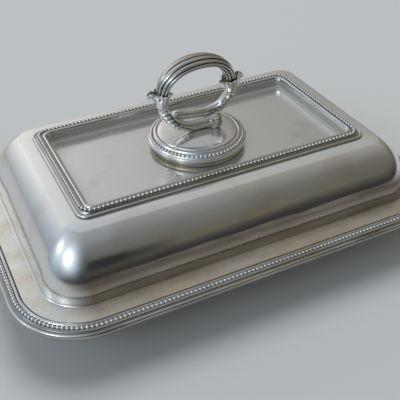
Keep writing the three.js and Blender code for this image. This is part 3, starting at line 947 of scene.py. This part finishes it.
def branch_route(shares, side):
    angle = math.pi + bar_start_angle if side < 0 else -bar_start_angle
    start = on_ring(angle)
    along = Vector((
        -RING_HALF_WIDTH * math.sin(angle), ARCH_RISE * math.cos(angle), 0
    )).normalized()
    lead = start - along * side * BRANCH_RADIUS * BRANCH_LEAD
    points = [start, lead]
    for x, y, z in shares:
        points.append(Vector((
            RING_HALF_WIDTH * x, BRANCH_DROP * z, -BRANCH_SIDE * y * side
        )))
    return smooth_route(points, ROUTE_POINTS)


front_path, front_length = route_curve("front_route", branch_route(FRONT_SHARES, -1))
rear_path, rear_length = route_curve("rear_route", branch_route(REAR_SHARES, 1))
print(f"branches: front {front_length:.1f} mm, rear {rear_length:.1f} mm")

# %% [markdown]
# A long leaf lies on the outer side of each branch, under the cup. Its edge is
# scalloped, a rib runs slanting into each lobe, and a notch parts the lobes. The bars
# have enough points for it to be raised from them vertex by vertex.

# %% Leaves on the branches
LEAF_LOBE = 3.3
LEAF_WRAP = math.radians(112)
SCALLOP = 0.26
LEAF_RAISED = 0.34
RIB_RAISED = 0.14
LEAF_START = 1.5
LEAF_TAIL = 4.0
EDGE_SOFT = 0.1
EDGE_DARK = 0.9
NOTCH_WIDTH = 0.4
RIB_FROM = 0.3
RIB_FULL = 0.25


def lay_leaf(piece, outer_side, length):
    """Raise a scalloped leaf on a straight bar, on its +Y or its -Y side."""
    grooves = keep_values(piece, "groove")
    for vertex in piece.data.vertices:
        along, y, z = vertex.co / MM
        radius = math.hypot(y, z)
        if radius < BRANCH_RADIUS / 2 or along > length:
            continue
        across = abs(math.atan2(z, y * outer_side)) / LEAF_WRAP
        width = math.sqrt(1 - (along / length) ** 3)
        lobe = along / LEAF_LOBE + 0.5 * across
        wave = abs(math.sin(math.pi * lobe))
        inside = (width * (1 - SCALLOP + SCALLOP * wave ** 0.6) - across) / EDGE_SOFT
        begun = min(along / LEAF_START, 1.0)
        raised = clamped(inside) * begun
        rib = 0.5 + 0.5 * math.cos(2 * math.pi * (lobe - 0.5))
        outward = clamped((across - RIB_FROM) / RIB_FULL)
        notch = max(0.0, 1 - wave / NOTCH_WIDTH) * outward
        height = raised * (LEAF_RAISED * (1 - notch) + RIB_RAISED * rib * outward)
        scale_section(vertex, (radius + height) / radius)
        edge = max(0.0, 1 - abs(inside) / EDGE_DARK) * begun
        fade = min((length - along) / LEAF_TAIL, 1.0)
        grooves[vertex.index].value = max(edge, raised * notch) * fade


# %% [markdown]
# The front branch keeps its thickness to the bell. The rear one swells a little near
# its end and then rounds off to a tongue, so its last stations lie closer together.

# %% The branches
BRANCH_STEPS = 120
BRANCH_POINTS = 72
BRANCH_TOP_DEPTH = 1.1
BRANCH_ROUND_AT = 22.0
FRONT_LEAF = 31.0
REAR_LEAF = 27.0
TONGUE_STEPS = 13
TONGUE_SWELL = 0.12
TONGUE_SWELLS_AT = 0.78
TONGUE_ENDS_AT = 0.9
TONGUE_TIP = 0.08


def branch_station(along, radius):
    """The branch is a flat oval under its cup, like the arch, and gets round."""
    flat = max(1 - along / BRANCH_ROUND_AT, 0.0)
    return along, radius, radius + BRANCH_TOP_DEPTH * flat ** 1.5


def tongue_radius(share):
    if share < TONGUE_SWELLS_AT:
        return BRANCH_RADIUS
    if share < TONGUE_ENDS_AT:
        swelling = (share - TONGUE_SWELLS_AT) / (TONGUE_ENDS_AT - TONGUE_SWELLS_AT)
        return BRANCH_RADIUS * (1 + TONGUE_SWELL * math.sin(swelling * math.pi / 2))
    rest = min((share - TONGUE_ENDS_AT) / (1 - TONGUE_ENDS_AT), 1.0)
    return BRANCH_RADIUS * (1 + TONGUE_SWELL) * max(math.sqrt(1 - rest * rest), TONGUE_TIP)


front_stations = [
    branch_station(front_length * i / BRANCH_STEPS, BRANCH_RADIUS)
    for i in range(BRANCH_STEPS + 1)
]
rear_shares = [TONGUE_ENDS_AT * i / BRANCH_STEPS for i in range(BRANCH_STEPS)] + [
    TONGUE_ENDS_AT + (1 - TONGUE_ENDS_AT) * math.sin(i / TONGUE_STEPS * math.pi / 2)
    for i in range(TONGUE_STEPS + 1)
]
rear_stations = [
    branch_station(rear_length * share, tongue_radius(share)) for share in rear_shares
]
front_branch = straight_bar("front_branch", front_stations, BRANCH_POINTS)
lay_leaf(front_branch, -1, FRONT_LEAF)
bend_and_stand(front_branch, front_path)
smooth_piece(front_branch, 60.0)
rear_branch = straight_bar("rear_branch", rear_stations, BRANCH_POINTS)
lay_leaf(rear_branch, 1, REAR_LEAF)
bend_and_stand(rear_branch, rear_path)
smooth_piece(rear_branch, 60.0)

# %% [markdown]
# A leaf cup hides each joint between arch and branch. It is a tube that lies close to
# the reeds, with a broad round lobe that curls away from the ring like a spoon, a
# short one that hooks into it, and small ones on the sides. The lobes are pulled out
# of the lip with proportional editing, which draws the neighbouring points along.

# %% Leaf cups
LEAF_POINTS = 96
LEAF_ROWS = [
    (0.0, 3.2, 4.3), (0.55, 3.4, 4.5), (1.55, 3.5, 4.7), (2.75, 3.6, 5.0), (3.95, 3.7, 5.4),
    (4.95, 3.85, 5.8), (5.75, 4.0, 6.05), (6.45, 4.1, 6.25), (7.05, 4.15, 6.35),
    (7.55, 4.2, 6.4), (8.05, 4.2, 6.42), (8.45, 4.2, 6.42),
]
LIP_X, LIP_HEIGHT, LIP_DEPTH = 8.1, 4.2, 6.42
LOBES = [
    # place on the lip in shares of its height and depth, then each pull with its reach
    (1.0, 0.0, [((1.2, 3.1, 0), 3.4), ((-0.8, 2.1, 0), 2.4), ((-1.5, 0.1, 0), 1.6)]),
    (-1.0, 0.0, [((1.3, -1.7, 0), 2.6), ((-0.2, -1.5, 0), 1.8)]),
    (0.62, -0.8, [((1.1, 0.2, -0.2), 1.6)]),
    (-0.62, -0.8, [((1.1, -0.2, -0.2), 1.6)]),
    (0.0, -1.0, [((1.5, 0, -0.3), 1.7)]),
    (0.62, 0.8, [((1.1, 0.2, 0.2), 1.6)]),
    (-0.62, 0.8, [((1.1, -0.2, 0.2), 1.6)]),
    (0.0, 1.0, [((1.5, 0, 0.3), 1.7)]),
]
VEINS = 12
VEIN_HEIGHT = 0.045
VEINS_FROM = 0.6
VEINS_FULL = 3.0
LEAF_WALL = 0.55


def pull_lip(piece, place, shift, reach):
    """Pull the lip at one place, with the points within reach."""
    sheet = bmesh.from_edit_mesh(piece.data)
    nearest = min(sheet.verts, key=lambda v: (v.co - place * MM).length)
    choose(piece, sheet, [nearest])
    bpy.ops.transform.translate(
        value=tuple(shift * MM),
        use_proportional_edit=True,
        proportional_edit_falloff="SPHERE",
        proportional_size=reach * MM,
    )


def leaf_cup(name):
    piece = bar_start(name, LEAF_POINTS)
    bar_through(piece, LEAF_ROWS)
    for height_share, depth_share, pulls in LOBES:
        place = Vector((LIP_X, LIP_HEIGHT * height_share, LIP_DEPTH * depth_share))
        for pull, reach in pulls:
            pull_lip(piece, place, Vector(pull), reach)
            place += Vector(pull)
    bpy.ops.object.mode_set(mode="OBJECT")
    veins = keep_values(piece, "groove")
    for vertex in piece.data.vertices:
        along, y, z = vertex.co / MM
        vein = 0.5 + 0.5 * math.cos(VEINS * math.atan2(z / LIP_DEPTH, y / LIP_HEIGHT))
        grown = clamped((along - VEINS_FROM) / VEINS_FULL)
        scale_section(vertex, 1 + VEIN_HEIGHT * (vein - 0.5) * grown)
        veins[vertex.index].value = 0.5 * (1 - vein) ** 3 * grown
    wall = piece.modifiers.new("wall", "SOLIDIFY")
    wall.thickness = LEAF_WALL * MM
    wall.offset = -1
    apply_modifiers(piece)
    round_off = piece.modifiers.new("round", "SUBSURF")
    round_off.levels = round_off.render_levels = 1
    apply_modifiers(piece)
    return piece


# %% [markdown]
# The cup is made once for each side. The right one is mirrored before it is bent,
# which turns its faces inside out, so the faces of both are turned outwards again.

# %% Cups on the ring
CUP_ROUTE_STEPS = 20
PAST_LIP = 6.0


def cup_route(name, side):
    """From the branch end of a cup to past its lip, on the ring's oval."""
    points = []
    for i in range(CUP_ROUTE_STEPS + 1):
        share = i / CUP_ROUTE_STEPS
        turned = -leaf_half_angle + (2 * leaf_half_angle + PAST_LIP / ARCH_RISE) * share
        points.append(on_ring(turned if side > 0 else math.pi - turned))
    return route_curve(name, points)[0]


def place_cup(name, side):
    leaf = leaf_cup(name)
    leaf.scale = (1, -side, 1)
    apply_place(leaf)
    bend_and_stand(leaf, cup_route(name + "_route", side))
    make_active(leaf)
    bpy.ops.object.mode_set(mode="EDIT")
    face_outwards()
    smooth_piece(leaf, 60.0)
    return leaf


right_leaf = place_cup("right_leaf", 1)
left_leaf = place_cup("left_leaf", -1)

# %% [markdown]
# The front branch ends in a little bell of six petals with a button in its mouth. It
# is a short bar that opens out and turns in on itself, and its petals are pushed out
# of it by angle.

# %% End leaf
bell_low, bell_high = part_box("handle_end_leaf")
BELL_TURN = math.radians(-16)
BELL_POINTS = 72
BELL_ROWS = [
    # x, radius
    (-1.3, 3.1), (-0.3, 3.3), (0.3, 3.2), (1.0, 3.3), (2.2, 3.55), (3.6, 3.85), (4.8, 4.0),
    (5.5, 3.95), (5.75, 3.6), (5.4, 3.0), (4.9, 2.4), (4.8, 2.0), (5.2, 1.7), (5.7, 1.4),
    (5.95, 1.0), (6.1, 0.4),
]
PETAL_PAIRS = 3
PETAL_OUT = 0.2
GAP_IN = 0.12
GAP_BACK = 0.9
OPEN_AT = 5.0
BUTTON_RADIUS = 2.5
MOUTH_X = 4.5
MOUTH_RADIUS = 3.7

bell_stations = [(x, radius, radius) for x, radius in BELL_ROWS]
end_leaf = straight_bar("end_leaf", bell_stations, BELL_POINTS)
mouths = keep_values(end_leaf, "groove")
for vertex in end_leaf.data.vertices:
    along = vertex.co.x / MM
    angle = math.atan2(vertex.co.z, vertex.co.y)
    radius = math.hypot(vertex.co.y, vertex.co.z) / MM
    petal = abs(math.cos(PETAL_PAIRS * angle)) ** 0.6
    opening = clamped(along / OPEN_AT)
    if radius > BUTTON_RADIUS:
        scale_section(vertex, 1 + (PETAL_OUT * petal - GAP_IN) * opening)
        vertex.co.x -= GAP_BACK * (1 - petal) * opening * MM
    mouth = along > MOUTH_X and radius < MOUTH_RADIUS
    mouths[vertex.index].value = 1.0 if mouth else max(0.6, 1 - petal / 0.6) * opening
end_leaf.rotation_euler = (0, 0, BELL_TURN)
end_leaf.location = (
    bell_low.x, (bell_low.y + bell_high.y) / 2, (bell_low.z + bell_high.z) / 2
)
apply_place(end_leaf)
smooth_piece(end_leaf, 60.0)

# %% [markdown]
# Old silver is bright but never a mirror. Its colour drifts from cool white to a warm
# tarnish in soft patches, polishing leaves fine scratches that lie mostly one way,
# and the sheet is never quite flat, so what it reflects ripples. One function builds
# this finish, and each kind of surface sets its own amounts.

# %% Silver
SILVER = (0.86, 0.855, 0.835, 1.0)
TARNISH = (0.62, 0.55, 0.42, 1.0)
PATCH_SCALE = 26.0
HAZE_SCALE = 55.0
SCRATCH_SCALE = 900.0
SCRATCH_STRETCH = (0.25, 3.0, 3.0)
SCRATCH_TURN = (0.0, 0.0, 0.35)
SCRATCH_DEPTH = 0.00006
WORN = (0.12, 0.4)
WAVE_SCALE = 24.0
WAVE_DEPTH = 0.0012


def bump(tree, height, strength, distance, below=None):
    node = tree.nodes.new("ShaderNodeBump")
    node.inputs["Strength"].default_value = strength
    node.inputs["Distance"].default_value = distance
    feed(tree, node.inputs["Height"], height)
    if below is not None:
        feed(tree, node.inputs["Normal"], below)
    return node.outputs["Normal"]


def stretched(tree, scale, turn=(0.0, 0.0, 0.0)):
    """The place on the piece, stretched so that a noise on it draws streaks."""
    node = tree.nodes.new("ShaderNodeMapping")
    node.inputs["Scale"].default_value = scale
    node.inputs["Rotation"].default_value = turn
    feed(tree, node.inputs["Vector"], coordinates(tree))
    return node.outputs["Vector"]


def silver(
    name, color=SILVER, tarnish=TARNISH, patches=(0.5, 0.75), polish=(0.12, 0.24), ripple=0.4
):
    """A polished silver. Patches says where in the noise the tarnish starts and is
    full, and polish is the roughness from the bright places to the worn ones."""
    material = bpy.data.materials.new(name)
    material.use_nodes = True
    tree = material.node_tree
    shader = tree.nodes["Principled BSDF"]
    shader.inputs["Metallic"].default_value = 1.0
    place = coordinates(tree)
    stained = map_range(tree, noise(tree, place, PATCH_SCALE, 5.0, 0.6), *patches)
    base = mix_color(tree, stained, color, tarnish)
    feed(tree, shader.inputs["Base Color"], base)
    streaks = stretched(tree, SCRATCH_STRETCH, SCRATCH_TURN)
    scratches = noise(tree, streaks, SCRATCH_SCALE, 2.0)
    worn = times(tree, scratches, noise(tree, place, HAZE_SCALE, 4.0))
    feed(tree, shader.inputs["Roughness"], map_range(tree, worn, *WORN, *polish))
    waves = bump(tree, noise(tree, place, WAVE_SCALE, 1.0), ripple, WAVE_DEPTH)
    fine = bump(tree, scratches, 0.05, SCRATCH_DEPTH, waves)
    feed(tree, shader.inputs["Normal"], fine)
    return material, tree, shader, base


dish_silver, *_ = silver("dish_silver", patches=(0.46, 0.82), polish=(0.16, 0.28))
print("finish made:", dish_silver.name)

# %% [markdown]
# Wear and tarnish are laid over the silver where a share is high, and so are painted
# shade and painted dark reflections. The share comes from a height, from noise, or from
# what each vertex kept when its piece was made.

# %% Helpers for wear, tarnish and painted shade
DARK = (0.05, 0.045, 0.035, 1.0)


def attribute(tree, name):
    node = tree.nodes.new("ShaderNodeAttribute")
    node.attribute_name = name
    return node.outputs["Fac"]


def between(tree, value, low, high, soft):
    """1 between two values, fading out over a soft distance at both."""
    rise = map_range(tree, value, low - soft, low + soft)
    fall = map_range(tree, value, high + soft, high - soft)
    return times(tree, rise, fall)


def darken(tree, shader, base, share, color=DARK):
    """Lay a darker colour over the base colour: tarnish, painted shade and painted dark
    reflections.
    """
    darker = mix_color(tree, share, base, color)
    feed(tree, shader.inputs["Base Color"], darker)
    return darker


def dull(tree, shader, share):
    """Tarnish and worn polish scatter the light, as bare silver does not."""
    bare = math_node(tree, "SUBTRACT", 1.0, share, clamp=True)
    feed(tree, shader.inputs["Metallic"], bare)


def roughen(tree, shader, share, amount):
    before = shader.inputs["Roughness"].links[0].from_socket
    rougher = math_node(tree, "ADD", before, times(tree, share, amount))
    feed(tree, shader.inputs["Roughness"], rougher)


# %% [markdown]
# Along the front, the low parts are dark brown, in streaks that lie along them: partly
# tarnish and partly a painted dark reflection.
# The share fades out towards the left end and upwards, where noise drives its edge.

# %% Brown tarnish and painted dark reflection along the front
STREAK_STRETCH = (0.22, 1.0, 1.0)
STREAK_SCALE = 90.0
STREAK_DRIFT = 0.012
FRONT_Y = (-0.060, -0.072)
LEFT_X = (-0.117, -0.104)


def front_foot(tree, top, bottom):
    """1 on the low front of a piece, with a streaky upper edge."""
    x, y, z = split_axes(tree, coordinates(tree))
    streaks = noise(tree, stretched(tree, STREAK_STRETCH), STREAK_SCALE, 3.0)
    drift = times(tree, math_node(tree, "SUBTRACT", streaks, 0.5), STREAK_DRIFT)
    share = map_range(tree, math_node(tree, "ADD", z, drift), top, bottom)
    share = times(tree, share, map_range(tree, y, *FRONT_Y))
    share = times(tree, share, map_range(tree, x, *LEFT_X))
    return times(tree, share, map_range(tree, streaks, 0.3, 0.7, 1.0, 0.72))


# %% [markdown]
# The cover is finished by zones. The flange is mottled and warm with tarnish, the panel
# is worn to a satin grey, and the wall of the well is a darker grey and dull. The foot of
# the bow along the front is brown: partly tarnish and partly a painted dark reflection,
# with a darker stripe that is a painted reflection. The reach that each vertex keeps
# tells flange, wall and panel.

# %% The cover's finish
FOOT_TARNISH_AND_PAINTED_REFLECTION = (0.34, 0.29, 0.215, 1.0)
WALL_GREY = (0.41, 0.395, 0.37, 1.0)
STRIPE_PAINTED_REFLECTION = (0.17, 0.145, 0.11, 1.0)
FLANGE_TINT = (0.68, 0.60, 0.48, 1.0)
FLANGE_REACH = (HALF_LENGTH - 10.9, HALF_LENGTH - 10.0)
PANEL_REACH = (HALF_LENGTH - 49.0, HALF_LENGTH - 51.5)
WALL_REACH = (HALF_LENGTH - 51.6, HALF_LENGTH - 48.4)
FOOT_HEIGHTS = (0.0575, 0.0485)
STRIPE_HEIGHTS = (0.0435, 0.0475)
TOP_HEIGHTS = (0.066, 0.0725)
LEFT_END = (-0.085, -0.115)
BLOTCH_SCALE = 60.0

cover_silver, tree, shader, base = silver(
    "cover_silver", patches=(0.52, 0.95), polish=(0.05, 0.13), ripple=0.4
)
reach = attribute(tree, "reach")
x, _, z = split_axes(tree, coordinates(tree))
flange_share = map_range(tree, reach, *FLANGE_REACH)
blotches = noise(tree, coordinates(tree), BLOTCH_SCALE, 5.0, 0.7)
mottled = times(tree, flange_share, map_range(tree, blotches, 0.35, 0.65))
# The low front of the bow: brown tarnish and a painted dark reflection.
foot_share = front_foot(tree, *FOOT_HEIGHTS)
# A darker stripe on the foot of the bow: a painted reflection.
stripe = times(tree, foot_share, map_range(tree, z, *STRIPE_HEIGHTS))
well_wall = between(tree, reach, *WALL_REACH, 0.3)
for share, color in (
    (mottled, FLANGE_TINT), (foot_share, FOOT_TARNISH_AND_PAINTED_REFLECTION), (stripe, STRIPE_PAINTED_REFLECTION),
    (well_wall, WALL_GREY),
):
    base = darken(tree, shader, base, share, color)
scatter = times(tree, map_range(tree, z, *TOP_HEIGHTS), 0.27)
for share, amount in (
    (flange_share, 0.25), (mottled, 0.25), (foot_share, 0.3), (well_wall, 0.6),
):
    scatter = math_node(tree, "ADD", scatter, times(tree, share, amount))
dull(tree, shader, scatter)
roughen(tree, shader, flange_share, 0.14)
roughen(tree, shader, map_range(tree, x, *LEFT_END), 0.07)
roughen(tree, shader, map_range(tree, reach, *PANEL_REACH), 0.1)
print("finish made:", cover_silver.name)

# %% [markdown]
# Mouldings are dark in their hollows and under the pearls: old polish where no cloth
# reaches, with painted shade over it. The rim's lip is dark on its outer side too, a
# painted dark reflection, and the rim's inner face beside the cover's edge and the foot
# of the well's moulding hold painted shadow lines. Each span gives where it starts and
# ends, in mm out from the flange's edge, and how dark it is.

# %% Finish of the mouldings
OLIVE_TARNISH_SHADE_AND_REFLECTION = (0.09, 0.085, 0.062, 1.0)
LIP_PAINTED_REFLECTION = (0.3, 0.29, 0.26, 1.0)
LIP_HEIGHTS = (0.0345, 0.0330)
# Rim: the pearls' land and the hollow hold tarnish with painted shade, the lip's outer side is
# a painted dark reflection, and the inner face by the cover's edge is a painted shadow.
RIM_SPANS = [(2.75, 5.5, 0.5), (5.5, 6.6, 0.55), (8.4, 9.6, 0.5), (-4.0, 0.95, 0.95)]
# Well's moulding: the pearls' land and the hollow hold tarnish with painted shade, and the line
# at its foot is a painted shadow.
TOP_SPANS = [(-46.1, -42.6, 0.5), (-42.25, -41.75, 0.75), (-40.2, -39.0, 0.7)]


def moulding_finish(name, spans):
    material, tree, shader, base = silver(
        name, patches=(0.45, 0.85), polish=(0.13, 0.24), ripple=0.12
    )
    reach = attribute(tree, "reach")
    for start, end, depth in spans:
        share = between(tree, reach, HALF_LENGTH + start, HALF_LENGTH + end, 0.25)
        base = darken(tree, shader, base, times(tree, share, depth), OLIVE_TARNISH_SHADE_AND_REFLECTION)
    return material, tree, shader, base


rim_silver, tree, shader, base = moulding_finish("rim_silver", RIM_SPANS)
# The low front of the rim's lip is greyed: a painted dark reflection.
darken(tree, shader, base, front_foot(tree, *LIP_HEIGHTS), LIP_PAINTED_REFLECTION)
top_silver, *_ = moulding_finish("top_silver", TOP_SPANS)
print("finishes made:", rim_silver.name, top_silver.name)

# %% [markdown]
# Pearls, reeds, leaves and the bell are dark in their gaps: old polish that no cloth
# reaches, and painted shade. The gap is known from the attribute that was stored while
# the piece was still straight. Each call names the attribute, between which of its
# values the silver goes dark, and how dark it gets.

# %% Silver with dark recesses
REED_COLOR = (0.64, 0.625, 0.59, 1.0)
BELL_TARNISH_AND_SHADE = (0.33, 0.21, 0.1, 1.0)


def recessed_silver(name, kept, gap, depth, gap_color=DARK, **amounts):
    material, tree, shader, base = silver(name, **amounts)
    share = map_range(tree, attribute(tree, kept), *gap, 0.0, depth)
    darken(tree, shader, base, share, gap_color)
    return material


# Pearls: the low parts and the gaps between them are darkened, as tarnish and painted shade.
pearl_silver = recessed_silver(
    "pearl_silver", "height", (0.3, 0.0), 0.85, polish=(0.12, 0.2), ripple=0.0
)
# Reeds: the grooves between them are darkened, as tarnish and painted shade.
reed_silver = recessed_silver(
    "reed_silver", "groove", (0.12, 0.75), 0.92,
    color=REED_COLOR, polish=(0.08, 0.16), ripple=0.1,
)
# Leaves: edges, notches and the hollows between veins are darkened, as tarnish and painted
# shade.
leaf_silver = recessed_silver(
    "leaf_silver", "groove", (0.1, 0.8), 0.85, polish=(0.08, 0.18), ripple=0.1
)
# Bell: its mouth and the gaps between its petals go brown, as tarnish and painted shade.
bell_silver = recessed_silver(
    "bell_silver", "groove", (0.1, 0.8), 1.0, BELL_TARNISH_AND_SHADE, polish=(0.14, 0.26), ripple=0.1
)
print("finishes made:", pearl_silver.name, reed_silver.name, leaf_silver.name, bell_silver.name)

# %% [markdown]
# The handle's plate has a dark line round its low dome, which is worn a little dull.
# The band under it is a darker, warmer silver all over. Screws
# and lock are of plain, dull metal.

# %% Finish of the handle's base and of the lock
PLATE_LINE = (26.45, 26.85)
DOME_REACH = (26.4, 25.6)

plate_silver, tree, shader, base = silver(
    "plate_silver", patches=(0.55, 0.9), polish=(0.1, 0.2), ripple=0.15
)
reach = attribute(tree, "reach")
darken(tree, shader, base, between(tree, reach, *PLATE_LINE, 0.15))
dull(tree, shader, map_range(tree, reach, *DOME_REACH, 0.0, 0.14))
band_silver, *_ = silver(
    "band_silver", color=(0.5, 0.49, 0.42, 1.0), tarnish=(0.3, 0.26, 0.17, 1.0),
    patches=(0.35, 0.7), polish=(0.18, 0.3), ripple=0.1,
)
screw_metal, *_ = silver(
    "screw_metal", color=(0.3, 0.28, 0.24, 1.0), tarnish=(0.14, 0.12, 0.09, 1.0),
    polish=(0.3, 0.45),
)
lock_metal, *_ = silver(
    "lock_metal", color=(0.6, 0.52, 0.36, 1.0), tarnish=(0.3, 0.24, 0.15, 1.0),
    polish=(0.3, 0.45),
)
print("finishes made:", plate_silver.name, band_silver.name, screw_metal.name, lock_metal.name)

# %% [markdown]
# Each piece now gets its finish, rides on its body and stands for the solid that it was
# built over. The lock and the screws are hidden under the plate, so their solids are
# kept and only get their metal.

# %% Finish, ride and replace
PIECES = [
    (dish_base, dish_silver, "dish", "dish_body", "worn_silver"),
    (rim_moulding, rim_silver, "dish", "dish_rim_mount", "border_silver"),
    (rim_beads, pearl_silver, "dish", "dish_rim_beads", "bead_silver"),
    (cover_shell, cover_silver, "cover", "cover_body", "polished_silver"),
    (top_moulding, top_silver, "cover", "cover_top_mount", "border_silver"),
    (top_beads, pearl_silver, "cover", "cover_top_beads", "bead_silver"),
    (plate, plate_silver, "handle", "handle_plate", "polished_silver"),
    (band, band_silver, "handle", "handle_skirt", "worn_silver"),
    (plate_beads, pearl_silver, "handle", "handle_plate_beads", "bead_silver"),
    (arch, reed_silver, "handle", "handle_arch", "cast_silver"),
    (right_leaf, leaf_silver, "handle", "handle_right_leaf", "cast_silver"),
    (left_leaf, leaf_silver, "handle", "handle_left_leaf", "cast_silver"),
    (front_branch, leaf_silver, "handle", "handle_front_branch", "cast_silver"),
    (rear_branch, leaf_silver, "handle", "handle_rear_branch", "cast_silver"),
    (end_leaf, bell_silver, "handle", "handle_end_leaf", "cast_silver"),
]
for piece, finish, body, node, slot in PIECES:
    piece.data.materials.clear()
    piece.data.materials.append(finish)
    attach(piece, body)
    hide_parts(node)

LOCK_NODES = [
    "cover_lock_ring", "cover_lock_stop_1", "cover_lock_stop_2", "handle_lock_tube",
    "handle_lock_lug_1", "handle_lock_lug_2", "handle_screw_1", "handle_screw_2",
]
for name in LOCK_NODES:
    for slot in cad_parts[name].material_slots:
        slot.material = screw_metal if "screw" in name else lock_metal
print(f"{len(PIECES)} pieces made, {len(LOCK_NODES)} solids kept")
